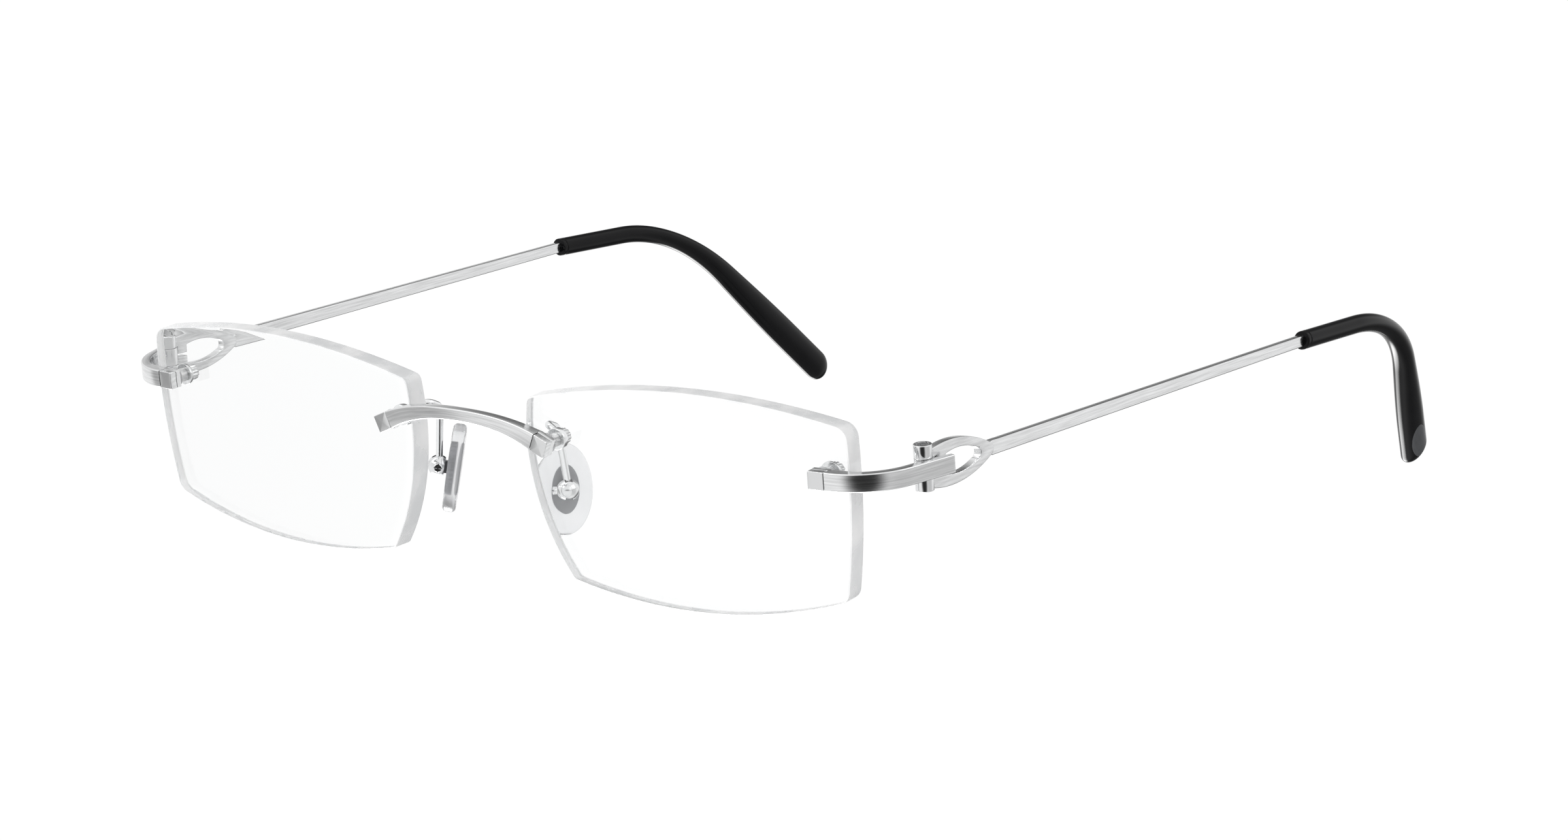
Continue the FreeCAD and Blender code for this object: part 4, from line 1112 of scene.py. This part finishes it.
def white_room():
    """World light: white all round, with soft patches in chosen directions, seen in reflections.
    A patch fades with the angle from its middle, which the dot product of two directions gives."""
    world = bpy.data.worlds.new("white_room")
    world.use_nodes = True
    tree = world.node_tree
    nodes, links = tree.nodes, tree.links
    background = nodes["Background"]
    place = nodes.new("ShaderNodeTexCoord")
    shade = None
    for direction, inner, outer, depth in room_patches:
        aim = nodes.new("ShaderNodeVectorMath")
        aim.operation = "DOT_PRODUCT"
        aim.inputs[1].default_value = tuple(unit(direction))
        patch = nodes.new("ShaderNodeMapRange")
        patch.interpolation_type = "SMOOTHSTEP"
        patch.inputs["From Min"].default_value = math.cos(math.radians(outer))
        patch.inputs["From Max"].default_value = math.cos(math.radians(inner))
        patch.inputs["To Min"].default_value = 1
        patch.inputs["To Max"].default_value = 1 - depth
        links.new(place.outputs["Generated"], aim.inputs[0])
        links.new(aim.outputs["Value"], patch.inputs["Value"])
        if shade is None:
            shade = patch.outputs["Result"]
        else:
            both = nodes.new("ShaderNodeMath")
            both.operation = "MULTIPLY"
            links.new(shade, both.inputs[0])
            links.new(patch.outputs["Result"], both.inputs[1])
            shade = both.outputs["Value"]
    path = nodes.new("ShaderNodeLightPath")
    seen = nodes.new("ShaderNodeMix")
    links.new(path.outputs["Is Camera Ray"], seen.inputs["Factor"])
    links.new(shade, seen.inputs["A"])
    seen.inputs["B"].default_value = 1.0
    links.new(seen.outputs["Result"], background.inputs["Strength"])
    background.inputs["Color"].default_value = (1, 1, 1, 1)
    bpy.context.scene.world = world


white_room()
for name, spot, size, power in (("broad_soft_box", (-0.5, -0.9, 1.1), 1.2, 4.0),
                                ("side_soft_box", (1.1, 0.3, 0.7), 0.8, 1.5)):
    lamp = bpy.data.lights.new(name, "AREA")
    lamp.size, lamp.energy = size, power
    holder = bpy.data.objects.new(name, lamp)
    holder.location = spot
    holder.rotation_euler = (-Vector(spot)).to_track_quat("-Z", "Y").to_euler()
    bpy.context.scene.collection.objects.link(holder)

optics = bpy.data.cameras.new("view")
optics.lens, optics.sensor_width = focal_length, sensor_width
camera = bpy.data.objects.new("view", optics)
turn_to_view = Matrix((view_right, view_up, view_backward)).transposed().to_4x4()
camera.matrix_world = Matrix.Translation(view_from) @ turn_to_view
bpy.context.scene.collection.objects.link(camera)
bpy.context.scene.camera = camera
bpy.context.scene.view_settings.view_transform = "Standard"
